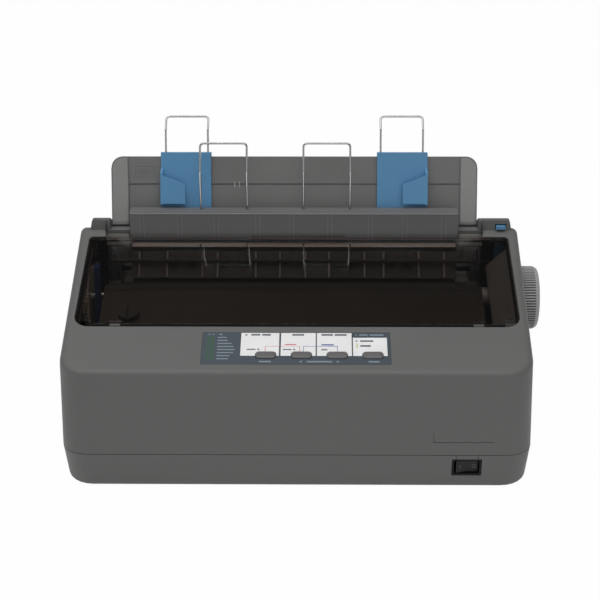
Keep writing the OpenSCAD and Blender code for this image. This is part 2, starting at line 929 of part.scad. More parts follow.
module chassis_frame() {
    color("#b4b7ba")
        difference() {
            union() {
                block(
                    frame_left, frame_right, chassis_front, chassis_rear,
                    chassis_h, chassis_h + chassis_t
                );
                block(
                    frame_left, frame_right, chassis_front, chassis_front + chassis_t,
                    chassis_h, support_h
                );
                block(
                    frame_left, frame_right, chassis_front, rail_y - 18,
                    support_h, support_h + chassis_t
                );
                block(
                    frame_left, frame_right, chassis_rear - chassis_t, chassis_rear,
                    chassis_h, chassis_h + 38
                );
                // Stand of the idler pulley
                rod_y(2, chassis_front, belt_y + belt_w / 2 + 2, idle_x, belt_z);
            }
            rod_y(4, chassis_front - 1, chassis_front + 3, drive_x, belt_z);
        }
}

function frame_profile() = [
    [chassis_front, chassis_h - 4], [chassis_rear, chassis_h - 4],
    [chassis_rear, platen_h - 28], [platen_y + 42, platen_h + 2],
    [platen_y + 26, platen_h + 28], [platen_y + 10, platen_h + 37],
    [platen_y - 5, platen_h + 37], [platen_y - 9, platen_h + 28],
    [platen_y - 9, platen_h - 9], [chassis_front, platen_h - 9]
];

// Side plate with the holes for the platen bush, the rail, and the roller axles
module side_plate(x) {
    difference() {
        along_x(x, x + frame_t)
            polygon(frame_profile());
        rod_x(6.5, x - 1, x + frame_t + 1, platen_y, platen_h);
        rod_x(rail_r, x - 1, x + frame_t + 1, rail_y, rail_z);
        rod_x(1.5 + run_fit, x - 1, x + frame_t + 1, eject_y, eject_z);
        rod_x(2 + run_fit, x - 1, x + frame_t + 1, platen_y, pinch_z);
    }
}

eject_r = 3.4;
eject_y = platen_y + 1;
eject_z = platen_h + 31;
pinch_r = 5;
pinch_z = platen_h - platen_r - pinch_r - 0.3;

module left_side_frame() {
    color("#b4b7ba")
        difference() {
            union() {
                side_plate(frame_left - frame_t);
                // Studs for the two idler gears and the thickness lever
                rod_x(stud_r, gear_x - 0.5, frame_left - frame_t / 2, idler_y, idler_z);
                rod_x(stud_r, gear_x - 0.5, frame_left - frame_t / 2, link_y, link_z);
                rod_x(stud_r, lever_x - 1, frame_left - frame_t / 2, lever_y, lever_z);
            }
            rod_x(4, frame_left - 3, frame_left + 1, motor_y, motor_z);
        }
}

module right_side_frame() {
    color("#b4b7ba") {
        side_plate(frame_right);
        rod_x(2, frame_right + frame_t / 2, release_x + release_w - 0.5, release_y, release_z);
    }
}

module platen_bushes() {
    color("#d8d4c4")
        for (side = [-1, 1]) {
            x = side > 0 ? frame_right : frame_left - frame_t;
            difference() {
                union() {
                    rod_x(6.5, x, x + frame_t, platen_y, platen_h);
                    rod_x(
                        8, side > 0 ? frame_right + frame_t : frame_left - frame_t - 2,
                        side > 0 ? frame_right + frame_t + 2 : frame_left - frame_t,
                        platen_y, platen_h
                    );
                }
                rod_x(shaft_r + run_fit, x - 4, x + frame_t + 4, platen_y, platen_h);
            }
        }
}

// ---- paper feed ----

module platen_roller() {
    color("#1b1b1b")
        difference() {
            rod_x(platen_r, paper_x - platen_half, paper_x + platen_half, platen_y, platen_h);
            rod_x(shaft_r, paper_x - platen_half - 1, paper_x + platen_half + 1, platen_y, platen_h);
        }
}

module platen_shaft() {
    color("#c4c6c8")
        rod_x(shaft_r, gear_x - 0.5, knob_end - 5, platen_y, platen_h);
}

module platen_gear() {
    color("#e6e2d6")
        gear(big_teeth, idler_dir, platen_y, platen_h, shaft_r);
}

// Knob with fine finger ribs and a smooth outer rim
module platen_knob() {
    x0 = knob_end - knob_w;
    color("#5f6163")
        difference() {
            union() {
                along_x(x0, knob_end - 3)
                    translate([platen_y, platen_h])
                        polygon([
                            for (i = [0:knob_ribs - 1], p = [[-0.9, -0.32], [0, -0.18], [0, 0.18], [-0.9, 0.32]])
                                let (r = knob_r + p[0], a = (i + p[1]) * 360 / knob_ribs)
                                    [r * cos(a), r * sin(a)]
                        ]);
                translate([knob_end - 3, platen_y, platen_h])
                    rotate([0, 90, 0])
                        rotate_extrude()
                            polygon([
                                [0, 0], [knob_r - 0.7, 0], [knob_r - 0.9, 1.4],
                                [knob_r - 2, 2.6], [knob_r - 4, 3], [0, 3]
                            ]);
                rod_x(8, frame_right + frame_t + 4, x0 + 1, platen_y, platen_h);
            }
            rod_x(shaft_r, frame_right, knob_end - 5, platen_y, platen_h);
        }
}

module feed_idler_gear() {
    color("#e6e2d6")
        gear(idler_teeth, idler_dir + 180 + 180 / idler_teeth, idler_y, idler_z, stud_r + run_fit);
}

// Turn of the pinion that sets its gap against the idler's tooth
idler_offset = idler_dir + 180 + 180 / idler_teeth;
idler_lead = (pinion_dir - idler_offset) * idler_teeth / 360;
pinion_lead = (round(idler_lead) - idler_lead) * 360 / pinion_teeth;
pinion_turn = pinion_dir + 180 - pinion_lead + 180 / pinion_teeth;

module feed_pinion() {
    color("#c9a34e") {
        gear(pinion_teeth, pinion_turn, motor_y, motor_z, 2);
        rod_x(2, gear_x - 0.5, frame_left - 1, motor_y, motor_z);
    }
}

module feed_motor() {
    color("#3b3d40")
        difference() {
            along_x(frame_left, frame_left + 34)
                translate([motor_y, motor_z])
                    rounded_rect(motor_size, motor_size, 4);
            rod_x(3, frame_left - 1, frame_left + 4, motor_y, motor_z);
        }
}

link_turn = tractor_dir + 180 + 180 / link_teeth;

// The platen gear has a tooth on idler_dir, so its teeth lead the link by this much
big_lead = (tractor_dir - idler_dir) * big_teeth / 360;
link_lead = (big_lead - round(big_lead)) * 360 / link_teeth;

module tractor_idler_gear() {
    color("#e6e2d6")
        gear(link_teeth, link_turn + link_lead, link_y, link_z, stud_r + run_fit);
}

// The side of the link gear that meets the tractor gear
link_far = (tractor_dir - link_turn - link_lead) * link_teeth / 360;
tractor_lead = (round(link_far) - link_far) * 360 / big_teeth;
tractor_turn = tractor_dir + 180 - tractor_lead + 180 / big_teeth;

function arc_points(r, a0, a1, n) = [
    for (i = [0:n])
        let (a = a0 + (a1 - a0) * i / n)
            [platen_y + r * cos(a), platen_h + r * sin(a)]
];

module feed_chute() {
    near = platen_r + 3.4;
    color("#2a2a2a")
        along_x(paper_x - platen_half - 1, paper_x + platen_half + 1)
            polygon(concat(
                [[foot_y + 7, beam_top - 8]],
                arc_points(near, 25, -55, 14),
                arc_points(near + 1.6, -55, 25, 14),
                [[foot_y + 8.8, beam_top - 8]]
            ));
}

// Places of the ribs, for a platen of half this length
rib_base = 128;
rib_places = [-126, -104, -76, -64, -33.6, -14.5, 5.7, 24.4, 52.5, 67.6, 95.3, 115.5];
rib_list = rib_places * (platen_half / rib_base);

// Ribbed wall that the paper climbs in front of, with the ledge behind it
module exit_guide() {
    low = [platen_y - 4, platen_h + 18];
    high = [platen_y + 10, platen_h + 35.5];
    color("#141414") {
        along_x(paper_x - platen_half - 1, paper_x + platen_half + 1)
            polygon([
                low, high, [flap_y - 2, high[1]], [flap_y - 2, high[1] - 10],
                [flap_y - 3.4, high[1] - 10], [flap_y - 3.4, high[1] - 1.6],
                [high[0] + 1, high[1] - 1.6], [low[0] + 1.8, low[1] - 0.6]
            ]);
        for (x = rib_list)
            along_x(x - 0.9, x + 0.9)
                polygon([
                    low + [-0.4, 1], high + [-2.6, 0.6], high + [2, 0.6],
                    high + [2, -0.5], high + [-1, -1], low + [1, 0.5]
                ]);
    }
}

module pinch_rollers() {
    color("#3a3a3a") {
        rod_x(2, frame_left - frame_t, frame_right + frame_t, platen_y, pinch_z);
        for (i = [-3:3])
            rod_x(pinch_r, paper_x + i * 34 - 8, paper_x + i * 34 + 8, platen_y, pinch_z);
    }
}

roller_places = [-99.3, -84.9, -59.2, -43.4, 30, 42.5, 73.3, 85.6];
roller_list = roller_places * (platen_half / rib_base);

module eject_rollers() {
    color("#4a4a4a") {
        rod_x(1.5, frame_left - frame_t, frame_right + frame_t, eject_y, eject_z);
        for (x = roller_list)
            rod_x(eject_r, x - 2.5, x + 2.5, eject_y, eject_z);
    }
}

// ---- print carriage ----

module carriage_shaft() {
    color("#c9cbcd")
        rod_x(rail_r, frame_left - frame_t, frame_right + frame_t, rail_y, rail_z);
}

module print_carriage() {
    x0 = home - carriage_w / 2;
    x1 = home + carriage_w / 2;
    slot = belt_t + 2 * slide_gap;
    color("#26282b")
        difference() {
            union() {
                block(x0, x1, rail_y - 12, rail_y + 12, rail_z - 9, rail_z + 9);
                // Arm to the belt, and the slipper on the front rail
                block(x0 + 8, x1 - 8, belt_y - belt_w / 2, rail_y - 11, belt_z + 3.5 + 1.5, rail_z + 4);
                block(
                    x0 + 8, x1 - 8, chassis_front + 4, rail_y - 11,
                    support_h + chassis_t + slide_gap, support_h + chassis_t + 4
                );
                block(x0 + 8, x1 - 8, rail_y - 16, rail_y - 10, rail_z, support_h + chassis_t + 4);
                block(x0 + 3, x1 - 3, rail_y - 8, rail_y + 12, rail_z + 8, platen_h - 12);
            }
            rod_x(rail_r + run_fit, x0 - 1, x1 + 1, rail_y, rail_z);
            block(
                x0, x1, belt_y - belt_w / 2 - 1, belt_y + belt_w / 2 + slide_gap,
                belt_top - slide_gap, belt_top + belt_t + slide_gap
            );
        }
}

belt_top = belt_z + pulley_r + belt_gap;

module print_head() {
    nose_y = platen_y - platen_r - head_gap;
    color("#8d8f92") {
        // Finned body
        block(home - 14, home + 14, rail_y - 6, rail_y + 12, platen_h - 12, platen_h + 1);
        for (i = [0:4])
            block(home - 19, home + 19, rail_y - 6 + i * 3.6, rail_y - 4.4 + i * 3.6, platen_h - 12, platen_h + 1);
        // Nose with the wire guide
        block(home - 7, home + 7, rail_y + 11, nose_y - 8, platen_h - 8, platen_h + 6);
        block(home - 3, home + 3, nose_y - 9, nose_y, platen_h - 4, platen_h + 4);
    }
}

module carriage_motor() {
    color("#3b3d40") {
        rod_y(19, chassis_front - 34, chassis_front, drive_x, belt_z);
        rod_y(2, chassis_front - 1, belt_y - belt_w / 2 - 0.4, drive_x, belt_z);
    }
}

module pulley(x, bore, y0) {
    difference() {
        rod_y(pulley_r, y0, belt_y + belt_w / 2, x, belt_z);
        rod_y(bore, y0 - 1, belt_y + belt_w / 2 + 1, x, belt_z);
    }
}

module drive_pulley() {
    color("#d8d8d8") {
        pulley(drive_x, 2, belt_y - belt_w / 2);
        rod_y(2, belt_y - belt_w / 2, belt_y + belt_w / 2, drive_x, belt_z);
    }
}

module idler_pulley() {
    color("#d8d8d8")
        pulley(idle_x, 2 + run_fit, belt_y - belt_w / 2);
}

module belt_outline(r) {
    for (x = [drive_x, idle_x])
        translate([x, belt_z])
            circle(r);
    translate([drive_x, belt_z - r])
        square([idle_x - drive_x, 2 * r]);
}

module carriage_belt() {
    color("#111111")
        along_y(belt_y - belt_w / 2 + 0.3, belt_y + belt_w / 2 - 0.3)
            difference() {
                belt_outline(pulley_r + belt_gap + belt_t);
                belt_outline(pulley_r + belt_gap);
            }
}

// ---- ribbon ----

ribbon_y = platen_y - platen_r - 0.65;

module ribbon_cartridge() {
    color("#17181a") {
        on_deck()
            block(
                paper_x - cartridge_half, paper_x + cartridge_half, cartridge_s,
                cartridge_s + cartridge_len, cartridge_n - cartridge_t, cartridge_n
            );
        // Arms that carry the ribbon past the platen
        for (side = [-1, 1]) {
            x = paper_x + side * (cartridge_half - 6);
            difference() {
                block(x - 5, x + 5, platen_y - 36, platen_y - 13, platen_h - 8.5, platen_h + 20);
                block(
                    x - 6, x + 6, ribbon_y - 0.4, ribbon_y + 0.4,
                    platen_h - ribbon_h / 2 - 0.3, platen_h + ribbon_h / 2 + 0.3
                );
            }
        }
    }
}

module ribbon() {
    half = cartridge_half - 3;
    color("#0b0b0c")
        block(
            paper_x - half, paper_x + half, ribbon_y - 0.15, ribbon_y + 0.15,
            platen_h - ribbon_h / 2, platen_h + ribbon_h / 2
        );
}

// Tension knob on the cartridge's left end
module ribbon_knob() {
    color("#2c2e31")
        on_deck()
            translate([paper_x - cartridge_half + 22, cartridge_s + 18, cartridge_n + 0.3])
                difference() {
                    cylinder(r = 8, h = 3.4);
                    translate([-1, -9, 2])
                        cube([2, 18, 3]);
                }
}

// ---- front flap and its wires ----

module front_flap() {
    x0 = paper_x - flap_half;
    x1 = paper_x + flap_half;
    color("#676767")
        difference() {
            union() {
                difference() {
                    block(x0, x1, flap_y, flap_y + flap_d, flap_base, flap_top);
                    block(
                        x0 + wall, x1 - wall, flap_y + wall, flap_y + flap_d + 1,
                        flap_base - 1, flap_top - wall
                    );
                }
                // Sleeves round the wires
                for (x = front_wire_x, side = [-1, 1])
                    block(
                        x + side * front_wire_w / 2 - 3, x + side * front_wire_w / 2 + 3,
                        flap_y + wall - eps, flap_y + flap_d, flap_base, flap_top - wall + eps
                    );
                rod_x(flap_pin_r, x0 - 5, x0 + 1, flap_pin_y, flap_pin_z);
                rod_x(flap_pin_r, x1 - 1, x1 + 5, flap_pin_y, flap_pin_z);
                block(x0, x0 + wall + 2, flap_y + 1, flap_y + flap_d, flap_base, flap_top - 1);
                block(x1 - wall - 2, x1, flap_y + 1, flap_y + flap_d, flap_base, flap_top - 1);
            }
            for (x = front_wire_x, side = [-1, 1])
                rod_z(
                    wire_r + run_fit, flap_base - 1, flap_top + 1,
                    x + side * front_wire_w / 2, wire_y
                );
        }
}

module front_wire(x) {
    color("#55585b")
        translate([x, wire_y, flap_top - 6])
            wire_loop(front_wire_w, 36.9, 23, 25);
}

module left_front_wire() front_wire(front_wire_x[0]);
module right_front_wire() front_wire(front_wire_x[1]);

// ---- sheet guide with its edge guides and wires ----

module sheet_guide() {
    half = guide_w / 2;
    color("#686868")
        on_guide()
            difference() {
                union() {
                    translate([0, panel_t, 0])
                        rotate([90, 0, 0])
                            linear_extrude(panel_t) {
                                translate([-half, 0])
                                    square([guide_w, guide_h - 9]);
                                translate([9 - half, 0])
                                    square([guide_w - 18, guide_h]);
                                for (side = [-1, 1])
                                    translate([side * (half - 9), guide_h - 9])
                                        circle(9);
                            }
                    for (side = [-1, 1])
                        block(
                            side > 0 ? half - flange_w : -half, side > 0 ? half : flange_w - half,
                            -1.5, 0.5, 1, guide_h - 9
                        );
                    rod_x(guide_pin_r, -half - 2.6, half + 2.6, guide_pin_yl, guide_pin_zl);
                }
                // Groove that the edge guides run along
                block(flange_w - half, half - flange_w, -1, 0.9, 33, 34.4);
            }
}

// Blue guide for one paper edge: front plate, hook over the guide, wall and lip
module edge_guide(side) {
    outer = side * paper_w / 2;
    color("#4b6f91")
        on_guide()
            translate([outer, 0, 0])
                scale([-side, 1, 1])
                    difference() {
                        union() {
                            block(-2, edge_w - 2, -2.6, -slide_gap, 7, guide_h + 3.4);
                            block(
                                -2, edge_w - 2, -2.6, panel_t + 2.6,
                                guide_h + slide_gap, guide_h + 3.4
                            );
                            block(
                                -2, edge_w - 2, panel_t + slide_gap, panel_t + 2.6,
                                24, guide_h + 3.4
                            );
                            // Sleeve behind, for the wire
                            block(-1.5, edge_w - 2.5, panel_t + 2.5, panel_t + 7.4, 30, guide_h - 1);
                            // Outer wall and the lip in front of the paper
                            along_x(-2, 0)
                                polygon([[-2, lip_foot], [-lip_reach, lip_foot], [-lip_reach, 43], [-2, 47]]);
                            along_y(-lip_reach, 2 - lip_reach)
                                polygon([[-1.5, lip_foot + 0.5], [18, lip_foot + 0.5], [18, 34], [-1.5, 42]]);
                        }
                        // The wire's two bores
                        for (x = [-1, 1])
                            rod_z(
                                wire_r + run_fit, 20, guide_h + 10,
                                edge_w / 2 - 2 + x * rear_wire_w / 2, panel_t + 5
                            );
                    }
}

module left_edge_guide() edge_guide(-1);
module right_edge_guide() edge_guide(1);

module rear_wire(side) {
    color("#55585b")
        on_guide()
            translate([side * (paper_w / 2 + 2 - edge_w / 2), panel_t + 5, guide_h - 10])
                wire_loop(rear_wire_w, 31, 13, 35);
}

module left_rear_wire() rear_wire(-1);
module right_rear_wire() rear_wire(1);

// ---- levers ----

// Lever that frees the paper; its blue tip stands out of the right block's front
module release_lever() {
    color("#4b6f91")
        difference() {
            along_x(release_x, release_x + release_w)
                polygon([
                    [release_y - 4, release_z - 4], [release_y + 4, release_z - 4],
                    [release_y + 3, beam_top - 8], [release_y + 1, beam_top + 3.4],
                    [release_y - 1, beam_top + 4.5], [step_y - 2.6, beam_top + 4.5],
                    [step_y - 2.6, beam_top + 1.8], [step_y + 3.4, beam_top + 1.6],
                    [release_y - 1.4, beam_top - 8], [release_y - 4, release_z + 6]
                ]);
            rod_x(2 + run_fit, release_x - 1, release_x + release_w + 1, release_y, release_z);
        }
}

// Blue lever at the left of the platen, set for the paper's thickness
module thickness_lever() {
    color("#4b6f91")
        difference() {
            along_x(lever_x, lever_x + 4.5)
                polygon([
                    [lever_y - 5, lever_z - 5], [lever_y + 5, lever_z - 5],
                    [lever_y + 11, lever_z + 26], [lever_y + 14, lever_z + 45],
                    [lever_y + 6, lever_z + 45], [lever_y + 4, lever_z + 28]
                ]);
            rod_x(stud_r + run_fit, lever_x - 1, lever_x + 6, lever_y, lever_z);
        }
}

// ---- tractors ----

module tractor_drive_shaft() {
    color("#c4c6c8") {
        translate([bay_left + 1, tractor_y, tractor_z])
            rotate([0, 90, 0])
                cylinder(r = hex_r, h = bay_right - bay_left - 2, $fn = 6);
        rod_x(hex_r - 0.5, gear_x, bay_left + 2, tractor_y, tractor_z);
        rod_x(hex_r, bay_left - wall - 0.5, bay_left + 1.5, tractor_y, tractor_z);
        rod_x(hex_r, bay_right - 1.5, bay_right + wall + 0.5, tractor_y, tractor_z);
        gear(big_teeth, tractor_turn, tractor_y, tractor_z, 2);
    }
}

module tractor_rod() {
    color("#c4c6c8")
        rod_x(3, bay_left - wall, bay_right + wall, tractor_y + rod_dy, tractor_z - 4);
}

door_hinge = tractor_w / 2 + 2.3;

// One paper tractor; side is -1 at the left and 1 at the right
module tractor(side) {
    x = paper_x + side * tractor_half;
    top = tractor_z + sprocket_r + 1;
    color("#303234")
        difference() {
            union() {
                block(x - tractor_w / 2, x + tractor_w / 2, tractor_y - 16, tractor_y + 24, tractor_z - 12, top);
                // Hinge knuckles of the door
                for (y = [tractor_y - 15, tractor_y + 15])
                    rod_y(1.8, y, y + 5, x + side * door_hinge, top + 0.8);
                for (y = [tractor_y - 15, tractor_y + 15])
                    block(
                        side > 0 ? x + tractor_w / 2 - 1 : x - door_hinge,
                        side > 0 ? x + door_hinge : x - tractor_w / 2 + 1,
                        y, y + 5, top - 3, top
                    );
            }
            rod_y(0.8 + run_fit, tractor_y - 17, tractor_y + 23, x + side * door_hinge, top + 0.8);
            // Pocket of the sprocket
            rod_x(sprocket_r + 3.4, x - 5.4, x + 5.4, tractor_y, tractor_z);
            rod_x(hex_r + 0.6, x - tractor_w, x + tractor_w, tractor_y, tractor_z);
            rod_x(3 + run_fit, x - tractor_w, x + tractor_w, tractor_y + rod_dy, tractor_z - 4);
        }
}

module left_tractor() tractor(-1);
module right_tractor() tractor(1);

module tractor_door(side) {
    x = paper_x + side * tractor_half;
    top = tractor_z + sprocket_r + 1;
    hinge = x + side * door_hinge;
    color("#4b6f91")
        difference() {
            union() {
                block(
                    min(hinge, x - side * tractor_w / 2), max(hinge, x - side * tractor_w / 2),
                    tractor_y - 9, tractor_y + 14, top + 0.4, top + 2.2
                );
                rod_y(1.8, tractor_y - 9, tractor_y + 14, hinge, top + 0.8);
                rod_y(0.8, tractor_y - 15, tractor_y + 20, hinge, top + 0.8);
            }
            // Slot over the pins
            block(x - 3, x + 3, tractor_y - 8, tractor_y + 11, top, top + 3);
        }
}

module left_tractor_door() tractor_door(-1);
module right_tractor_door() tractor_door(1);

module sprocket(side) {
    x = paper_x + side * tractor_half;
    color("#e6e2d6")
        difference() {
            union() {
                rod_x(sprocket_r, x - 5, x + 5, tractor_y, tractor_z);
                for (i = [0:sprocket_pins - 1])
                    translate([x, tractor_y, tractor_z])
                        rotate([i * 360 / sprocket_pins, 0, 0])
                            cylinder(r = 1.8, h = sprocket_r + 2.6);
            }
            translate([x - 6, tractor_y, tractor_z])
                rotate([0, 90, 0])
                    cylinder(r = hex_r + 0.2, h = 12, $fn = 6);
        }
}

module left_sprocket() sprocket(-1);
module right_sprocket() sprocket(1);

// Puts a piece into the part's own frame
module placed() {
    translate([-centre_shift, 0, 0])
        children();
}

placed() lower_case();
placed() upper_case();
placed() rubber_feet();
placed() case_screws();
placed() printer_cover();
placed() panel_label();
placed() button_one();
placed() button_two();
placed() button_three();
placed() button_four();
placed() switch_housing();
placed() power_rocker();
placed() circuit_boards();
placed() power_supply();
placed() ac_inlet();
placed() interface_ports();
placed() chassis_frame();
placed() left_side_frame();
placed() right_side_frame();
placed() platen_bushes();
placed() platen_roller();
placed() platen_shaft();
placed() platen_gear();
placed() platen_knob();
placed() feed_idler_gear();
placed() feed_motor();
placed() feed_pinion();
placed() tractor_idler_gear();
placed() feed_chute();
placed() exit_guide();
placed() pinch_rollers();
placed() eject_rollers();
placed() carriage_shaft();
placed() print_carriage();
placed() print_head();
placed() carriage_motor();
placed() drive_pulley();
placed() idler_pulley();
placed() carriage_belt();
placed() ribbon_cartridge();
placed() ribbon();
placed() ribbon_knob();
placed() front_flap();
placed() left_front_wire();
placed() right_front_wire();
placed() sheet_guide();
placed() left_edge_guide();
placed() right_edge_guide();
placed() left_rear_wire();
placed() right_rear_wire();
placed() release_lever();
placed() thickness_lever();
placed() tractor_drive_shaft();
placed() tractor_rod();
placed() left_tractor();
placed() right_tractor();
placed() left_tractor_door();
placed() right_tractor_door();
placed() left_sprocket();
placed() right_sprocket();
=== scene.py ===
# A desktop dot matrix printer, finished for the eye on the frame that its CAD model gives.
import json
import math

import bmesh
import bpy
from mathutils import Matrix, Vector


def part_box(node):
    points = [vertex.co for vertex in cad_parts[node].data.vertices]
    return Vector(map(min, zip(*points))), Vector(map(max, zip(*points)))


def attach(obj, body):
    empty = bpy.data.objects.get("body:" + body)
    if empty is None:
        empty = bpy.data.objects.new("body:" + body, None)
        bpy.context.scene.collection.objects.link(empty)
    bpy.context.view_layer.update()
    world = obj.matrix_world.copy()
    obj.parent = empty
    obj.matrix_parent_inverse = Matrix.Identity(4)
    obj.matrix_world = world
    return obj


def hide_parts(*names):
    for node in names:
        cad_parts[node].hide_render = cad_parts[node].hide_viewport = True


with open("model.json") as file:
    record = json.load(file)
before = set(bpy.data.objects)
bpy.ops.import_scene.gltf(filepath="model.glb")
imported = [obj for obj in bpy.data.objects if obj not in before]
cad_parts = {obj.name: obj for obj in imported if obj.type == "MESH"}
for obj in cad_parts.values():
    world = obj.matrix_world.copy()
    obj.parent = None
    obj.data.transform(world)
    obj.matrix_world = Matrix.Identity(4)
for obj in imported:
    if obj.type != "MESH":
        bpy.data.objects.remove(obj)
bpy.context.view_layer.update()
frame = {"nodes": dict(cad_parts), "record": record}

nodes = frame["nodes"]

# ---- Camera ----
# The picture was taken from 1.1 m away with a long lens, 25 degrees above the desk and
# a little to the right of the printer's middle, with the camera tipped a quarter degree.


def in_scene(name, data):
    """A new object of some data, linked to the scene."""
    thing = bpy.data.objects.new(name, data)
    bpy.context.scene.collection.objects.link(thing)
    return thing


case_low, case_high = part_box("lower_case")
case_middle = (case_low.x + case_high.x) / 2
eye = in_scene("eye", bpy.data.cameras.new("eye"))
bpy.context.scene.camera = eye
azimuth, pitch, roll = math.radians(0.9), math.radians(65), math.radians(-0.27)
eye_right, eye_y, eye_height = 0.0186, -1.100163, 0.605228
eye.matrix_world = (Matrix.Translation((case_middle + eye_right, eye_y, eye_height))
                    @ Matrix.Rotation(azimuth, 4, "Z") @ Matrix.Rotation(pitch, 4, "X")
                    @ Matrix.Rotation(roll, 4, "Z"))
eye.data.lens = 91.17
eye.data.sensor_width = 36
eye.data.clip_end = 40

# ---- Lower case ----
# The tray under the printer, injection moulded in dark grey ABS. Its mould was spark
# eroded, which leaves an even fine grain, and four screws hold it to the upper case.


def hex_colour(code):
    """The linear colour of an sRGB hex value."""
    parts = [int(code[i:i + 2], 16) / 255 for i in (1, 3, 5)]
    linear = [p / 12.92 if p <= 0.04045 else ((p + 0.055) / 1.055) ** 2.4 for p in parts]
    return (*linear, 1.0)


def add(tree, kind, settings, links=None):
    """Adds one node with its settings, by property name or socket, and its links."""
    node = tree.nodes.new("ShaderNode" + kind)
    for key, value in settings.items():
        if isinstance(key, int) or key in node.inputs:
            node.inputs[key].default_value = value
        else:
            setattr(node, key, value)
    for key, source in (links or {}).items():
        tree.links.new(source, node.inputs[key])
    return node


def new_material(name):
    """An empty Principled material, its tree, its shader and the object's own place."""
    material = bpy.data.materials.new(name)
    material.use_nodes = True
    tree = material.node_tree
    return material, tree, tree.nodes["Principled BSDF"], add(tree, "TexCoord", {}).outputs["Object"]


def span(tree, value, low, high, start=0.3, end=0.7):
    """Maps a value from start to end, which hold most of a noise, to low to high."""
    return add(tree, "MapRange", {"From Min": start, "From Max": end, "To Min": low, "To Max": high},
               {"Value": value}).outputs["Result"]


def noise(tree, place, scale, detail, roughness=0.5):
    return add(tree, "TexNoise", {"Scale": scale, "Detail": detail, "Roughness": roughness},
               {"Vector": place}).outputs["Fac"]


def calculated(tree, operation, one, two):
    return add(tree, "Math", {"operation": operation}, {0: one, 1: two}).outputs["Value"]


def bumped(tree, height, strength, depth, normal=None):
    """A bump of depth metres, on a rounded normal where there is one."""
    links = {"Height": height, "Normal": normal} if normal else {"Height": height}
    return add(tree, "Bump", {"Strength": strength, "Distance": depth}, links).outputs["Normal"]


def rounded_edge(tree, radius):
    return add(tree, "Bevel", {"samples": 4, "Radius": radius}).outputs["Normal"]


def surface(tree, shader, colour, tone, roughness, normal):
    """Gives a shader its colour times tone, its roughness and its normal."""
    tint = add(tree, "VectorMath", {"operation": "SCALE", 0: hex_colour(colour)[:3]}, {"Scale": tone})
    for socket, source in (("Base Color", tint.outputs["Vector"]), ("Roughness", roughness),
                           ("Normal", normal)):
        if source is not None:
            tree.links.new(source, shader.inputs[socket])


def moulded(name, colour, roughness, grain, depth, edge=0.0004, mottle=0.04, polish=0.1,
            specular=0.5):
    """Moulded plastic: a grain of bumps, a faint wander of colour, and rounded edges
    that handling has polished a little lighter. grain, depth and edge are in metres."""
    material, tree, shader, place = new_material(name)
    rounded = rounded_edge(tree, edge)
    pits = noise(tree, place, 1 / grain, 2.0, 0.6)
    cloud = noise(tree, place, 22.0, 4.0, 0.55)
    turned = add(tree, "VectorMath", {"operation": "DOT_PRODUCT"},
                 {0: rounded, 1: add(tree, "NewGeometry", {}).outputs["Normal"]})
    rim = span(tree, turned.outputs["Value"], 0.0, polish, 0.97, 0.72)
    shade = calculated(tree, "ADD", span(tree, cloud, 1 - mottle, 1 + mottle),
                       span(tree, pits, -0.03, 0.03))
    gloss = span(tree, cloud, roughness - 0.05, roughness + 0.05)
    surface(tree, shader, colour, calculated(tree, "ADD", shade, rim),
            calculated(tree, "SUBTRACT", gloss, rim), bumped(tree, pits, 0.5, depth, rounded))
    shader.inputs["IOR"].default_value = 1.54
    shader.inputs["Specular IOR Level"].default_value = specular
    return material


rides_on = {node: body for body, members in frame["record"]["behaviour"]["bodies"].items()
            for node in members}


def wear(material, *names):
    """Gives CAD nodes a better material on their own shape."""
    for name in names:
        slots = nodes[name].material_slots
        for slot in slots:
            slot.link = "OBJECT"
            slot.material = material


def cad_shape(name):
    """A CAD node's shape as one closed mesh with its flat faces whole."""
    shape = bmesh.new()
    shape.from_mesh(nodes[name].data)
    bmesh.ops.remove_doubles(shape, verts=shape.verts, dist=1e-6)
    bmesh.ops.dissolve_limit(shape, angle_limit=math.radians(0.4), verts=shape.verts, edges=shape.edges)
    return shape


def piece(name, shape, material, body, soften=0.0, steps=2, smooth=32):
    """Makes one object of a bmesh, rounds its edges by soften metres, and rides it."""
    mesh = bpy.data.meshes.new(name)
    bmesh.ops.recalc_face_normals(shape, faces=shape.faces)
    shape.to_mesh(mesh)
    shape.free()
    mesh.materials.append(material)
    mesh.shade_smooth()
    mesh.set_sharp_from_angle(angle=math.radians(smooth))
    thing = in_scene(name, mesh)
    if soften:
        round_off = thing.modifiers.new("rounded_edges", "BEVEL")
        round_off.width = soften
        round_off.segments = steps
        round_off.limit_method = "ANGLE"
        round_off.angle_limit = math.radians(smooth)
        round_off.use_clamp_overlap = True
    even = thing.modifiers.new("even_normals", "WEIGHTED_NORMAL")
    even.keep_sharp = True
    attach(thing, body)
    return thing


def finer(name, label, material, soften, steps=2, smooth=32, shape=None):
    """Stands a piece with rounded edges in a CAD node's place, riding on the node's body."""
    thing = piece(label, shape or cad_shape(name), material, rides_on[name], soften, steps, smooth)
    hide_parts(name)
    return thing


def extra(label, shape, material, beside, soften=0.0, steps=1, smooth=32):
    """Adds a piece in its own given material that rides with a CAD node."""
    thing = piece(label, shape, material, rides_on[beside], soften, steps, smooth)
    return thing


def join_rings(shape, rings):
    """Joins each ring of a bmesh's points to the next by a band of faces."""
    for one, two in zip(rings, rings[1:]):
        for i in range(len(one)):
            j = (i + 1) % len(one)
            shape.faces.new((one[i], one[j], two[j], two[i]))


def stacked(shape, place, layers):
    """Adds a solid through outlines of X and Y points, each at its own Z, to a bmesh."""
    rings = [[shape.verts.new(place @ Vector((x, y, z))) for x, y in outline] for outline, z in layers]
    shape.faces.new(reversed(rings[0]))
    shape.faces.new(rings[-1])
    join_rings(shape, rings)


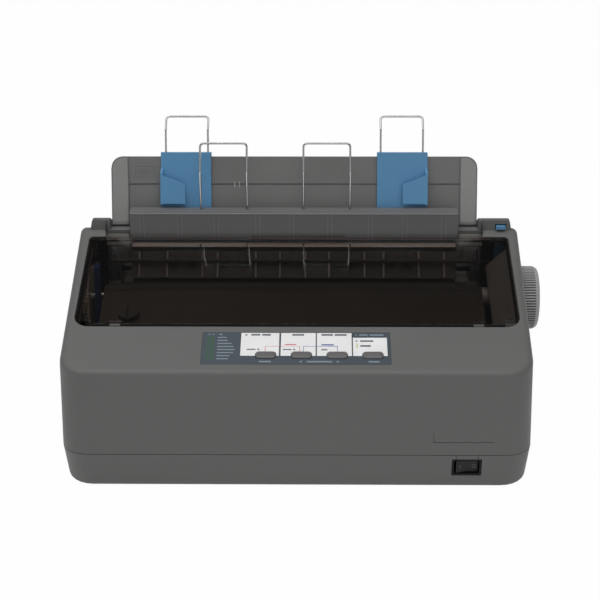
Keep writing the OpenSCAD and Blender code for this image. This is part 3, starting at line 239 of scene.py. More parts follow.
def prism(shape, place, outline, lift, drop=0.0):
    """Adds a flat outline of X and Y points to a bmesh, solid from Z drop to Z lift."""
    stacked(shape, place, [(outline, drop), (outline, lift)])


def flat_ring(shape, place, inner, outer, low, high, turns):
    """Adds a washer about the origin of place, from Z low to Z high."""
    rings = [[shape.verts.new(place @ Vector((radius * math.cos(math.tau * i / turns),
                                              radius * math.sin(math.tau * i / turns), height)))
              for i in range(turns)]
             for radius, height in ((inner, low), (inner, high), (outer, high), (outer, low))]
    join_rings(shape, rings + rings[:1])


def rectangle(x0, x1, y0, y1):
    """The outline of a rectangle, from its low corner round."""
    return [(x0, y0), (x1, y0), (x1, y1), (x0, y1)]


def round_rectangle(x0, x1, y0, y1, radius, steps=7):
    """The outline of a rectangle with round corners."""
    points = []
    for x, y, start in ((x1 - radius, y0 + radius, -90), (x1 - radius, y1 - radius, 0),
                        (x0 + radius, y1 - radius, 90), (x0 + radius, y0 + radius, 180)):
        for i in range(steps + 1):
            angle = math.radians(start + 90 * i / steps)
            points.append((x + radius * math.cos(angle), y + radius * math.sin(angle)))
    return points


def carved(stock, cuts):
    """One bmesh with the solids of the bmesh cuts taken out of it."""
    bmesh.ops.recalc_face_normals(cuts, faces=cuts.faces)
    things = []
    for name, shape in (("stock", stock), ("cutter", cuts)):
        mesh = bpy.data.meshes.new(name)
        shape.to_mesh(mesh)
        shape.free()
        things.append(in_scene(name, mesh))
    cut = things[0].modifiers.new("cut", "BOOLEAN")
    cut.operation, cut.object, cut.solver = "DIFFERENCE", things[1], "EXACT"
    cut.use_self = True
    result = bmesh.new()
    result.from_mesh(things[0].evaluated_get(bpy.context.evaluated_depsgraph_get()).to_mesh())
    for thing in things:
        bpy.data.objects.remove(thing)
    bmesh.ops.remove_doubles(result, verts=result.verts, dist=1e-6)
    return result


# All sizes below are in millimetres about the middle of the case, as the maker draws
# them; this turns them into metres in the printer's frame.
case_front, case_rear = -137.5, 137.5
bench = Matrix.Translation((case_middle, 0, 0)) @ Matrix.Scale(0.001, 4)
# The same, seen from the front: X to the right, Y up and Z out towards the viewer
front_view = bench @ Matrix.Rotation(math.radians(90), 4, "X")

seam_height = 31
switch_middle, switch_top = 125.6, 27.2
frame_line_reach, line_width = 8, 0.45
score_depth = 0.9

# ABS off a spark-eroded mould: an even matt, with a grain of 0.5 mm that is drawn at
# 0.9 mm so that it shows.
lower_abs = moulded("abs_lower_case", "#686867", 0.56, 0.0009, 0.00008)
# Two short scored lines run from the seam down to the power switch
scores = bmesh.new()
for side in (-1, 1):
    x = switch_middle + side * frame_line_reach
    score = rectangle(x - line_width / 2, x + line_width / 2, switch_top - 0.5, seam_height)
    prism(scores, front_view, score, -case_front + 1, -case_front - score_depth)
finer("lower_case", "lower_case_tray", lower_abs, 0.0005, shape=carved(cad_shape("lower_case"), scores))

# ---- Rubber feet ----
# Four round feet of black moulded rubber, pushed into sockets under the tray. Each has
# a ring in its sole, so that it holds the desk.

# Moulded rubber: dead matt, with the bloom that rubber gets on its skin.
foot_rubber = moulded("rubber_feet", "#1b1b1b", 0.82, 0.0007, 0.00006, mottle=0.12, polish=0.03)
wear(foot_rubber, "rubber_feet")
foot_places = [(x, y) for x in (-140, 140) for y in (-105.5, 105.5)]
soles = bmesh.new()
for x, y in foot_places:
    flat_ring(soles, bench @ Matrix.Translation((x, y, 0)), 5.0, 6.4, 0.02, 0.0, 28)
extra("foot_sole_rings", soles, foot_rubber, "rubber_feet")

# ---- Case screws ----
# Four self-tapping screws of zinc plated steel in deep holes under the tray. The zinc
# is bright, with the faint blue of its passivation.


def zinc_plate(name, colour, roughness, grain, stretch=(1, 1, 1)):
    """Zinc plated steel: flakes of slightly different tone, and a rolled direction."""
    material, tree, shader, place = new_material(name)
    drawn = add(tree, "Mapping", {"Scale": stretch}, {"Vector": place})
    flakes = add(tree, "TexVoronoi", {"Scale": 1 / grain, "Randomness": 1.0}, {"Vector": place})
    grey = add(tree, "RGBToBW", {}, {"Color": flakes.outputs["Color"]}).outputs["Val"]
    lines = noise(tree, drawn.outputs["Vector"], 900.0, 3.0)
    tone = calculated(tree, "MULTIPLY", span(tree, grey, 0.88, 1.04, 0.2, 0.8),
                      span(tree, lines, 0.95, 1.03))
    surface(tree, shader, colour, tone, span(tree, grey, roughness - 0.07, roughness + 0.07, 0.2, 0.8),
            bumped(tree, lines, 0.25, 0.00002, rounded_edge(tree, 0.0003)))
    shader.inputs["Metallic"].default_value = 1.0
    return material


# Zinc plate on cold headed steel, with flakes of 2 mm
screw_zinc = zinc_plate("zinc_plated_screws", "#c3c6c9", 0.34, 0.002)
wear(screw_zinc, "case_screws")
screw_places = [(x, y) for x in (-158, 158) for y in (-112, 112)]
slots_in_heads = bmesh.new()
arm, thin = 2.1, 0.35
cross = [(-arm, -thin), (-thin, -thin), (-thin, -arm), (thin, -arm), (thin, -thin), (arm, -thin),
         (arm, thin), (thin, thin), (thin, arm), (-thin, arm), (-thin, thin), (-arm, thin)]
head_height = 10.97
for x, y in screw_places:
    prism(slots_in_heads, bench @ Matrix.Translation((x, y, 0)), cross, head_height + 0.08, head_height)
# The recess of the driver, dark because light doesn't reach into it
recess = zinc_plate("zinc_in_driver_recess", "#26282a", 0.6, 0.001)
extra("screw_driver_recesses", slots_in_heads, recess, "case_screws")

# ---- Upper case ----
# The deck, the raised rear and the bay for the guide, one moulding in the same grey ABS
# as the tray.

# The same spark-eroded matt as the tray, a touch smoother
upper_abs = moulded("abs_upper_case", "#686867", 0.55, 0.0009, 0.00008)
# An L-shaped score low on the front, at the right, frames a bare place
corner_x, corner_end, corner_z, corner_top = 100.2, 145.0, 41.2, 50.2
upright_width = 0.7
scores = bmesh.new()
for score in (rectangle(corner_x, corner_end, corner_z, corner_z + line_width),
              rectangle(corner_x, corner_x + upright_width, corner_z, corner_top)):
    prism(scores, front_view, score, -case_front + 1, -case_front - score_depth)
# Air slots in the rear wall, over the power supply
vent_middle, vent_count, vent_pitch, vent_half_width = 24, 13, 6, 1.2
vent_low, vent_high = 58.5, 65.5
for i in range(vent_count):
    x = vent_middle + (i - (vent_count - 1) / 2) * vent_pitch
    prism(scores, front_view, rectangle(x - vent_half_width, x + vent_half_width, vent_low, vent_high),
          -case_rear + 4, -case_rear - 1)
shell = carved(cad_shape("upper_case"), scores)
deck_slope = math.radians(15.5)
deck_front, deck_height = -135, 97
# Across the deck, up its slope, and out of it
deck = bench @ Matrix.Translation((0, deck_front, deck_height)) @ Matrix.Rotation(deck_slope, 4, "X")
to_deck = deck.inverted()
cover_front, cover_rear, cover_half, cover_corner = 51.0, 158.0, 166.0, 11.0
step_y = deck_front + cover_rear * math.cos(deck_slope) + 8.75
beam_top = deck_height + (step_y - deck_front) * math.tan(deck_slope)
# The lugs of the cover's hinge get a darker material: painted shade on them
lug_middle, lug_half_width, hinge_line, lug_radius = 135.5, 4.3, 53.4, 3
for face in shell.faces:
    spot = to_deck @ face.calc_center_median()
    in_lug = abs(abs(spot.x) - lug_middle) < lug_half_width and abs(spot.y - hinge_line) < lug_radius
    if in_lug and -5 < spot.z < -0.1:
        face.material_index = 1
hood = finer("upper_case", "upper_case_shell", upper_abs, 0.0005, shape=shell)
hood.data.materials.append(moulded("abs_lugs_painted_shade", "#393735", 0.4, 0.0009, 0.00003))

# ---- Smoked cover ----
# A hinged plate of smoked acrylic, cast clear and then polished. It is seen through
# dimly, and it mirrors what stands behind it.

# Acrylic is as smooth as glass. The tint is what one of its two faces lets through.
smoke, tree, shader, place = new_material("smoked_acrylic")
ripple = bumped(tree, noise(tree, place, 14.0, 3.0), 0.02, 0.001, rounded_edge(tree, 0.0006))
clear = add(tree, "BsdfTransparent", {"Color": hex_colour("#e1dcd9")})
tree.nodes.remove(shader)
shine = add(tree, "BsdfAnisotropic", {"Color": (1, 1, 1, 1), "Roughness": 0.04}, {"Normal": ripple})
# Seen from inside, the index is turned over, so that both faces mirror alike
side_seen = add(tree, "NewGeometry", {}).outputs["Backfacing"]
index = span(tree, side_seen, 1.5, 1 / 1.5, 0, 1)
edge_glow = add(tree, "Fresnel", {}, {"IOR": index, "Normal": ripple})
mixed = add(tree, "MixShader", {},
            {0: edge_glow.outputs["Fac"], 1: clear.outputs["BSDF"], 2: shine.outputs["BSDF"]})
tree.links.new(mixed.outputs["Shader"], tree.nodes["Material Output"].inputs["Surface"])
barrel_reach = 4.9
cover_shape = cad_shape("printer_cover")
for face in cover_shape.faces:
    if (to_deck @ face.calc_center_median()).y < cover_front + barrel_reach:
        face.material_index = 1
plate = finer("printer_cover", "smoked_cover_plate", smoke, 0.0007, 3, shape=cover_shape)
# The barrel is moulded nearly black, with a fine texture that hides the hinge
barrel_acrylic = moulded("textured_acrylic_barrel", "#0b0a0a", 0.62, 0.0007, 0.00004, polish=0.0,
                         specular=0.1)
plate.data.materials.append(barrel_acrylic)
# A narrow near-black band round the underside of the cover's edge: painted shade, the dark outline of the
# gap round the cover
band = bmesh.new()
edge_lines = []
for inset in (0.3, 2.0):
    line_points = []
    for side in (1, -1):
        x, arc = side * (cover_half - cover_corner), cover_corner - inset
        steps = range(6, 9) if side > 0 else range(8, 5, -1)
        points = [(x + side * arc * math.sin(math.radians(11.25 * k)),
                   cover_front + cover_corner - arc * math.cos(math.radians(11.25 * k))) for k in steps]
        rear_corner = (side * (cover_half - inset), cover_rear - inset)
        line_points += points + [rear_corner] if side > 0 else [rear_corner] + points
    edge_lines.append(line_points)
outer_line, inner_line = edge_lines
band_top, band_bottom = -2.25, -3.0
rings = [[band.verts.new(deck @ Vector((x, y, level))) for x, y in line_points]
         for line_points, level in ((outer_line, band_top), (inner_line, band_top),
                                    (inner_line, band_bottom), (outer_line, band_bottom))]
for one, two in zip(rings, rings[1:] + rings[:1]):
    for i in range(len(one) - 1):
        band.faces.new((one[i], one[i + 1], two[i + 1], two[i]))
for end in (0, -1):
    band.faces.new([ring[end] for ring in rings])
extra("smoked_cover_edge_painted_shade", band, barrel_acrylic, "printer_cover")

# ---- Control panel ----
# A printed polyester film in a shallow recess of the deck, with four button holes. The
# ink is screen printed, in white, pale blue, green, red and yellow on blue grey.


def printed(name, colour, roughness=0.42):
    """Screen printed ink on polyester film: flat, with a faint orange peel and wander."""
    material, tree, shader, place = new_material(name)
    cloud = noise(tree, place, 60.0, 3.0)
    surface(tree, shader, colour, span(tree, cloud, 0.96, 1.04),
            span(tree, cloud, roughness - 0.04, roughness + 0.04),
            bumped(tree, noise(tree, place, 2500.0, 1.0), 0.2, 0.00002))
    shader.inputs["IOR"].default_value = 1.5
    return material


# Polyester film with a satin top coat
film = printed("printed_polyester_film", "#48535c")
button_middles = [-22 + 26 * i for i in range(4)]
button_slope_place = 19.1
hole_half_width, hole_half_length, hole_corner = 7.8, 3.9, 2.9
ink_lift, mark_lift = 0.05, 0.09
holes, sheet = bmesh.new(), bmesh.new()
for middle in button_middles:
    hole = round_rectangle(middle - hole_half_width, middle + hole_half_width,
                           button_slope_place - hole_half_length,
                           button_slope_place + hole_half_length, hole_corner)
    prism(holes, deck, hole, 1, -1)
film_half, film_low, film_high, film_corner, film_depth = 69, 9.5, 44, 0.8, 0.5
prism(sheet, deck, round_rectangle(-film_half, film_half, film_low, film_high, film_corner), 0, -film_depth)
finer("panel_label", "panel_film", film, 0.0, shape=carved(sheet, holes))

# The white fields, each cut away round its button hole
white_fields = [(-40.6, -12.5, 43.5), (-11.2, 14.3, 43.5), (15.2, 40.7, 43.5), (41.6, 66.6, 38.4)]
field_bottom = 18.6
hole_top = button_slope_place + hole_half_length
fields = bmesh.new()
for (x0, x1, top), middle in zip(white_fields, button_middles):
    notch = round_rectangle(middle - hole_half_width, middle + hole_half_width, 0, hole_top, hole_corner)
    arch = [point for point in notch if point[1] > field_bottom]
    arch = sorted(arch, key=lambda point: point[0])
    outline = [(x0, field_bottom), (arch[0][0], field_bottom), *arch, (arch[-1][0], field_bottom),
               (x1, field_bottom), (x1, top), (x0, top)]
    prism(fields, deck, outline, ink_lift, -0.02)
extra("panel_white_fields", fields, printed("white_screen_ink", "#ffffff"), "panel_label")


def print_marks(label, colour, bars, triangles=(), lift=mark_lift):
    """Prints bars (x0, x1, s0, s1) and triangles (x, s, how far the tip is across, along)."""
    marks = bmesh.new()
    for x0, x1, s0, s1 in bars:
        prism(marks, deck, rectangle(x0, x1, s0, s1), lift, -0.02)
    # An isosceles triangle points along X where across isn't nought, or else along the slope
    for x, s, across, along in triangles:
        wide, tall = (abs(along) * 0.8, 0) if along else (0, abs(across) * 0.8)
        outline = [(x + across, s + along), (x - across / 2 - wide, s - along / 2 - tall),
                   (x - across / 2 + wide, s - along / 2 + tall)]
        prism(marks, deck, outline if along > 0 or across < 0 else outline[::-1], lift, -0.02)
    extra(label, marks, printed(label + "_ink", colour), "panel_label")


def row(x0, x1, s, height=1.0):
    return (x0, x1, s - height / 2, s + height / 2)


lamp_rows = [38.4 - 3.3 * i for i in range(8)]
legend_widths = [6.5, 7.5, 10.5, 12, 13, 12, 9.5, 8.5]
lamps = [row(x0, x1, s, 1.9) for s in lamp_rows for x0, x1 in ((-65.3, -63.3), (-62.3, -60.4))]
print_marks("panel_green_squares", "#35683c", lamps)
pale = [row(-57.8, -57.8 + width, s, 1.0) for s, width in zip(lamp_rows, legend_widths)]
pale += [row(x0, x1, 41.8, 1.2) for x0, x1 in ((-64.8, -63.6), (-61.8, -60.7), (-56.8, -54.6))]
pale += [row(-26.8, -18.1, 12.4, 1.5), row(7.8, 26.3, 12.4, 1.5), row(52.6, 60.4, 12.4, 1.5)]
pale += [row(43.4, 44.6, 41.4, 1.2), row(46.3, 52.5, 41.4, 1.5), row(54.0, 64.3, 41.4, 1.5)]
pale_tips = [(3.6, 12.4, -1.5, 0), (30.4, 12.4, 1.5, 0)]
print_marks("panel_pale_bars", "#8d9aa5", pale, pale_tips)
dark = [row(-37.7, -36.1, 41.2, 1.3), row(-33.2, -26.6, 41.4, 1.9), row(-25.2, -18.9, 41.4, 1.9)]
dark += [row(-3.0, 5.7, 41.4, 1.9), row(18.5, 27.0, 41.4, 1.9), row(28.2, 37.0, 41.4, 1.9)]
dark += [row(-36.1, -29.6, 25.4, 1.3), row(-9.8, -3.4, 25.4, 1.3), row(18.5, 22.8, 25.2, 1.4)]
dark += [row(43.6, 45.0, 34.7, 1.3), row(46.9, 56.5, 34.7, 1.8), row(46.9, 54.6, 29.4, 1.9)]
print_marks("panel_dark_bars", "#777c82", dark, [(-27.6, 25.4, 0, 1.4), (-1.4, 25.4, 0, 1.4)])
foot, roof = 23.4, 29.1
red = [row(-8.3, 0.2, 30.7, 1.3)] + [(x, x + line_width, foot, roof) for x in (-22.7, 2.4)]
red += [(-22.7, -8.0, roof - line_width, roof), (-8.0, 2.6, 28.7, 28.7 + line_width * 0.6)]
print_marks("panel_red_marks", "#d88a90", red)
blue = [row(18.5, 27.6, 30.5, 1.5)] + [(x, x + line_width, foot, roof) for x in (5.2, 30.0)]
blue += [(5.2, 30.4, roof - line_width, roof)]
print_marks("panel_blue_marks", "#6f7fae", blue, lift=mark_lift + 0.02)
print_marks("panel_yellow_mark", "#e3e3b4", [(44.0, 45.3, 27.0, 32.0)])

# The four push buttons: grey ABS caps with round corners, polished by fingers.
button_abs = moulded("abs_buttons", "#6a6969", 0.45, 0.0008, 0.00005, edge=0.0007, polish=0.1)
flange_half_width, flange_half_length = 8.7, 4.6
for number, middle in zip(("one", "two", "three", "four"), button_middles):
    cap = bmesh.new()
    layers = []
    for inset, level in ((0.3, -3.5), (0.3, 0.3), (0.4, 0.7), (0.75, 1.02), (1.3, 1.17), (2.0, 1.2)):
        layers.append((round_rectangle(middle - hole_half_width + inset, middle + hole_half_width - inset,
                               button_slope_place - hole_half_length + inset,
                               button_slope_place + hole_half_length - inset,
                               max(hole_corner - inset, 0.8)), level))
    stacked(cap, deck, layers)
    flange = rectangle(middle - flange_half_width, middle + flange_half_width,
                       button_slope_place - flange_half_length, button_slope_place + flange_half_length)
    prism(cap, deck, flange, -2.9, -4.1)
    finer("button_" + number, "button_cap_" + number, button_abs, 0.0, shape=cap, smooth=40)

# ---- Power switch ----
# A black rocker in a black nylon housing, clipped into the tray. A bar and a ring are
# printed on its two ends, in a white that thumbs have worn to grey.

# Glass-filled nylon: black, with a satin skin
switch_nylon = moulded("nylon_switch", "#131314", 0.38, 0.0006, 0.00004, polish=0.05)
bezel_nylon = moulded("nylon_switch_bezel", "#0e0e0e", 0.6, 0.0006, 0.00004, polish=0.01, specular=0.2)
finer("switch_housing", "switch_bezel", bezel_nylon, 0.0004)
rocker_nylon = moulded("nylon_switch_rocker", "#1c1c1c", 0.55, 0.0006, 0.00004, polish=0.02, specular=0.3)
finer("power_rocker", "switch_rocker", rocker_nylon, 0.0005, 3)
rocker_turn = math.radians(7)
rocker_face = (bench @ Matrix.Translation((switch_middle, case_front + 5.2, 20))
               @ Matrix.Rotation(rocker_turn, 4, "Z") @ Matrix.Rotation(math.radians(90), 4, "X"))
signs = bmesh.new()
pad_slope, pad_middle, pad_height = 0.9 / 8.2, 5.2, 2.1
for side in (-1, 1):
    half = (rocker_face @ Matrix.Translation((side * pad_middle, 0, pad_height + pad_middle * pad_slope))
            @ Matrix.Rotation(-side * math.atan(pad_slope), 4, "Y"))
    if side < 0:
        prism(signs, half, rectangle(-0.3, 0.3, -1.6, 1.6), 0.07, -0.05)
    else:
        flat_ring(signs, half, 1.1, 1.6, -0.05, 0.07, 24)
extra("switch_bar_and_ring", signs, printed("white_pad_ink", "#4c4d4e"), "power_rocker")

# ---- Circuit boards and power supply ----
# Green glass fibre boards with tracks under their solder resist, and a supply in a box
# of zinc plated sheet. They sit behind the chassis, and hardly show.

# Solder resist over copper: glossy green, lighter where a track runs under it
resist, tree, shader, place = new_material("solder_resist_board")
tracks = add(tree, "TexBrick", {"Scale": 160.0, "Mortar Size": 0.03, "Color1": hex_colour("#2c6a38"),
                                "Color2": hex_colour("#255c30"), "Mortar": hex_colour("#4f8f55")},
             {"Vector": place})
gloss = span(tree, noise(tree, place, 90.0, 2.0), 0.25, 0.4, 0, 1)
tree.links.new(tracks.outputs["Color"], shader.inputs["Base Color"])
tree.links.new(gloss, shader.inputs["Roughness"])
tree.links.new(bumped(tree, tracks.outputs["Fac"], 0.3, 0.00005), shader.inputs["Normal"])
wear(resist, "circuit_boards")
# Rolled sheet with large flakes, drawn along the printer
sheet_zinc = zinc_plate("zinc_plated_sheet", "#b4b8bb", 0.42, 0.006, (0.06, 1, 1))
wear(sheet_zinc, "power_supply")

# ---- Inlet and connectors ----
# A three-pin inlet of black nylon with nickel plated blades, and three connectors in
# plated shells, all on the rear wall.

wear(switch_nylon, "ac_inlet")
# Bright nickel over steel
nickel = zinc_plate("nickel_plated_shells", "#c6c4be", 0.25, 0.004)
wear(nickel, "interface_ports")
# Gold flashed contacts on black tongues inside each shell
gold_flash = zinc_plate("gold_flashed_contacts", "#d9b65c", 0.3, 0.002)
tongues, contacts = bmesh.new(), bmesh.new()
port_base = 41.3
tongue_inset, tongue_half = 4, 1.8
for middle, width, height, count in ((120, 12.5, 11.5, 2), (78, 40, 12, 5), (12, 66, 14, 12)):
    level = port_base + height / 2
    tongue = rectangle(middle - width / 2 + tongue_inset, middle + width / 2 - tongue_inset,
                       level - tongue_half, level + tongue_half)
    prism(tongues, front_view, tongue, -case_rear + 10.5, -case_rear + 2.5)
    pitch = (width - 10) / count
    for i in range(count):
        x = middle + (i - (count - 1) / 2) * pitch
        for side in (-1, 1):
            z = level + side * (tongue_half + 0.15)
            contact = rectangle(x - pitch * 0.22, x + pitch * 0.22, z - 0.2, z + 0.2)
            prism(contacts, front_view, contact, -case_rear + 10, -case_rear + 3)
extra("connector_tongues", tongues, switch_nylon, "interface_ports", 0.0002)
extra("connector_contacts", contacts, gold_flash, "interface_ports")

# ---- Chassis and side frames ----
# Pressed from zinc plated sheet 1.5 mm thick and screwed together. They carry the
# platen, the rails and the motors.

wear(sheet_zinc, "chassis_frame")
# The side frames stand in view, so their zinc is passivated black
black_zinc = zinc_plate("black_passivated_sheet", "#37393b", 0.5, 0.006, (0.06, 1, 1))
wear(black_zinc, "left_side_frame", "right_side_frame")
# Sintered bushes and gears of white acetal: waxy, slightly yellow
acetal = moulded("acetal_gears", "#e4e0d3", 0.36, 0.0012, 0.00002, mottle=0.02, polish=0.02)
wear(acetal, "platen_bushes", "platen_gear", "feed_idler_gear", "tractor_idler_gear",
     "left_sprocket", "right_sprocket")

# ---- Platen ----
# A rubber sleeve on a ground steel shaft. The rubber was ground true in a lathe, which
# leaves fine rings round it, and paper has left a little dust.


def turned(name, colour, roughness, pitch, depth, metallic, wander=0.05):
    """A surface turned or ground round the X axis: fine rings, pitch metres apart."""
    material, tree, shader, place = new_material(name)
    rings = add(tree, "Mapping", {"Scale": (1 / pitch, 6, 6)}, {"Vector": place})
    grooves = noise(tree, rings.outputs["Vector"], 1.0, 3.0, 0.7)
    cloud = noise(tree, place, 40.0, 4.0)
    tone = calculated(tree, "ADD", span(tree, cloud, 1 - wander, 1 + wander),
                      span(tree, grooves, -wander, wander))
    surface(tree, shader, colour, tone, span(tree, grooves, roughness - 0.06, roughness + 0.06),
            bumped(tree, grooves, 0.4, depth, rounded_edge(tree, 0.0004)))
    shader.inputs["Metallic"].default_value = metallic
    return material


# Ground nitrile rubber, with rings of 0.1 mm drawn at 0.5 mm
platen_rubber = turned("ground_nitrile_rubber", "#1d1d1d", 0.7, 0.0005, 0.00003, 0.0, 0.1)
wear(platen_rubber, "platen_roller", "pinch_rollers")
# Centreless ground steel, bright with the finest rings
ground_steel = turned("ground_steel", "#cfd1d3", 0.22, 0.0004, 0.000008, 1.0)
wear(ground_steel, "platen_shaft", "carriage_shaft")
# The same steel with a black oxide finish
oxide_steel = turned("black_oxide_steel", "#2b2b2d", 0.4, 0.0004, 0.000008, 1.0)
wear(oxide_steel, "tractor_drive_shaft", "tractor_rod")
# Brass turned on the lathe
turned_brass = turned("turned_brass", "#c9a45a", 0.28, 0.0004, 0.00001, 1.0)
wear(turned_brass, "feed_pinion")

# The paper feed knob, moulded in grey ABS with fine ribs round it for the fingers. Its
# face is dished, with a boss in the middle that the shaft is pressed into.
platen_y, platen_z = 2.0, 94.0
knob_end, knob_width = 189.8, 13.8
knob_radius, rib_depth, rib_count = 25.0, 0.9, 72
steps_per_rib = 8


def knob_ring(shape, x, radius, depth):
    """One ring of points round the knob, with ribs of this depth."""
    count = rib_count * steps_per_rib
    ring = []
    for i in range(count):
        angle = math.tau * i / count
        wave = 0.5 + 0.5 * math.cos(rib_count * angle)
        r = radius - depth * (1 - wave ** 0.7)
        ring.append(shape.verts.new(bench @ Vector((x, platen_y + r * math.cos(angle),
                                                    platen_z + r * math.sin(angle)))))
    return ring


inner_face = knob_end - knob_width
profile = [(inner_face, 8, 0), (inner_face, 23.4, 0), (inner_face + 0.7, 24.4, rib_depth * 0.6),
           (inner_face + 1.2, knob_radius, rib_depth), (knob_end - 4.2, knob_radius, rib_depth),
           (knob_end - 3.4, knob_radius - 0.15, rib_depth * 0.7), (knob_end - 2.9, knob_radius - 0.5, 0.1),
           (knob_end - 1.8, knob_radius - 0.9, 0), (knob_end - 0.8, knob_radius - 1.7, 0),
           (knob_end - 0.15, knob_radius - 3.0, 0), (knob_end, knob_radius - 4.2, 0),
           (knob_end - 0.1, knob_radius - 5.2, 0), (knob_end - 1.6, knob_radius - 7.0, 0),
           (knob_end - 2.2, 12, 0), (knob_end - 2.2, 8.6, 0), (knob_end - 0.6, 8.0, 0),
           (knob_end - 0.4, 7.4, 0), (knob_end - 0.4, 0.6, 0)]
knob = bmesh.new()
hub_end = 145.9
rings = [knob_ring(knob, hub_end, 4.05, 0), knob_ring(knob, hub_end, 7.6, 0),
         knob_ring(knob, hub_end + 0.4, 8, 0)]
rings += [knob_ring(knob, *place) for place in profile]
join_rings(knob, rings)
knob.faces.new(rings[-1])
knob.faces.new(rings[0])
# ABS polished by fingers along the crests of its ribs
knob_abs = moulded("abs_feed_knob", "#a8a9a9", 0.4, 0.0007, 0.00004, edge=0.0003, polish=0.2)
# The grooves between the ribs get a darker material: painted shade between the ribs
knob.normal_update()
for face in knob.faces:
    spot = bench.inverted() @ face.calc_center_median()
    turn = math.atan2(spot.z - platen_z, spot.y - platen_y)
    if inner_face + 1 < spot.x < knob_end - 3.2 and math.cos(rib_count * turn) < -0.25:
        face.material_index = 1
knob_piece = finer("platen_knob", "feed_knob_moulding", knob_abs, 0.0, shape=knob, smooth=50)
knob_piece.data.materials.append(moulded("abs_grooves_painted_shade", "#5c5c5d", 0.6, 0.0007, 0.00004, polish=0.0))

# ---- Feed and carriage motors ----
# Two stepper motors with cans painted black, and end caps of cast aluminium.

# Stoved black paint, with an orange peel of 1 mm
motor_paint = moulded("stoved_black_paint", "#2b2c2e", 0.35, 0.001, 0.00003, mottle=0.08)
wear(motor_paint, "feed_motor", "carriage_motor")
wear(ground_steel, "drive_pulley", "idler_pulley")

# ---- Paper path ----
# The chute behind the platen and the ribbed guide that the paper climbs, both moulded
# in black ABS. The tops of the ribs carry a painted highlight.

# Black ABS: satin, near black
black_abs = moulded("abs_black_guides", "#090909", 0.5, 0.0008, 0.00005, polish=0.03)
wear(black_abs, "feed_chute")
finer("exit_guide", "ribbed_exit_guide", black_abs, 0.0003)
rib_places = [-126, -104, -76, -64, -33.6, -14.5, 5.7, 24.4, 52.5, 67.6, 95.3, 115.5]
# The crests of the ribs are a pale grey: painted highlight where their edges catch the light
rib_highlight_abs = moulded("abs_rib_painted_highlight", "#807e7a", 0.3, 0.0008, 0.00002)
crests = bmesh.new()
side_view = bench @ Matrix(((0, 0, 1, 0), (1, 0, 0, 0), (0, 1, 0, 0), (0, 0, 0, 1)))
low_y, low_z = platen_y - 4, platen_z + 18
high_y, high_z = platen_y + 10, platen_z + 35.5
for x in rib_places:
    outline = [(low_y - 0.7, low_z + 1.2), (low_y - 0.1, low_z + 0.8), (high_y - 2.3, high_z + 0.4),
               (high_y - 2.9, high_z + 0.7)]
    prism(crests, side_view, outline, x + 0.75, x - 0.75)
extra("exit_guide_rib_crests", crests, rib_highlight_abs, "exit_guide")
# A lip stands up along the rear of its ledge, its flat top painted pale: painted light that falls on it
# through the cover
paper_middle, lip_half = -3.7, 129
lip_front, lip_rear, lip_top = platen_y + 10.8, step_y - 5.8, high_z + 3.3
lip, lip_top_light = bmesh.new(), bmesh.new()
prism(lip, side_view, rectangle(lip_front, lip_rear, high_z - 0.2, lip_top),
      paper_middle + lip_half, paper_middle - lip_half)
extra("exit_guide_lip", lip, black_abs, "exit_guide", 0.0002)
prism(lip_top_light, side_view, rectangle(lip_front + 0.3, lip_rear - 0.3, lip_top - 0.1, lip_top + 0.1),
      paper_middle + lip_half - 0.4, paper_middle - lip_half + 0.4)
lip_top_light_abs = moulded("abs_lip_top_painted_light", "#c6bfb8", 0.5, 0.0009, 0.00003)
extra("exit_guide_lip_top", lip_top_light, lip_top_light_abs, "exit_guide")
# Four bright pins lie on the lip, under the feet of the front wires
pins = bmesh.new()
pin_half, pin_high = 0.65, 1.3
for x in (-77.9, -40.9, 4.0, 41.0):
    outline = rectangle(lip_front - 1.6, lip_rear + 0.2, lip_top + 0.1, lip_top + pin_high)
    prism(pins, side_view, outline, x + pin_half, x - pin_half)
extra("exit_guide_wire_pins", pins, nickel, "exit_guide", 0.0003)
# Pale pads on the front of the beams, where the flap and the guide are hinged: painted light on faces that
# lie in shade
beam_light_pads = bmesh.new()
for x0, x1 in ((-154.5, -136.0), (128.6, 147.2)):
    prism(beam_light_pads, front_view, rectangle(x0, x1, beam_top - 13.0, beam_top - 3.4),
          -step_y + 0.35, -step_y - 0.2)
beam_light_abs = moulded("abs_beam_painted_light", "#a5a19c", 0.45, 0.0012, 0.00002)
extra("beam_front_painted_light", beam_light_pads, beam_light_abs, "upper_case")
# Eject rollers of grey rubber on a steel axle
roller_rubber = turned("moulded_roller_rubber", "#262524", 0.6, 0.0006, 0.00003, 0.0, 0.1)
wear(roller_rubber, "eject_rollers")

# ---- Carriage and print head ----
# The carriage is black glass-filled nylon. The head is cast aluminium with fins that
# carry away its heat, and a nose that holds the pins.

wear(switch_nylon, "print_carriage")
# Cast aluminium: dull, with the skin of the die
cast_metal = zinc_plate("die_cast_aluminium", "#8f9194", 0.48, 0.0015)
finer("print_head", "finned_print_head", cast_metal, 0.0003)
# Neoprene belt, woven nylon over its back
belt_rubber = moulded("neoprene_belt", "#141414", 0.75, 0.0006, 0.00004)
wear(belt_rubber, "carriage_belt")

# ---- Ribbon cartridge ----
# A long black cartridge under the cover, moulded in polystyrene, with a knob that winds
# its inked nylon ribbon.

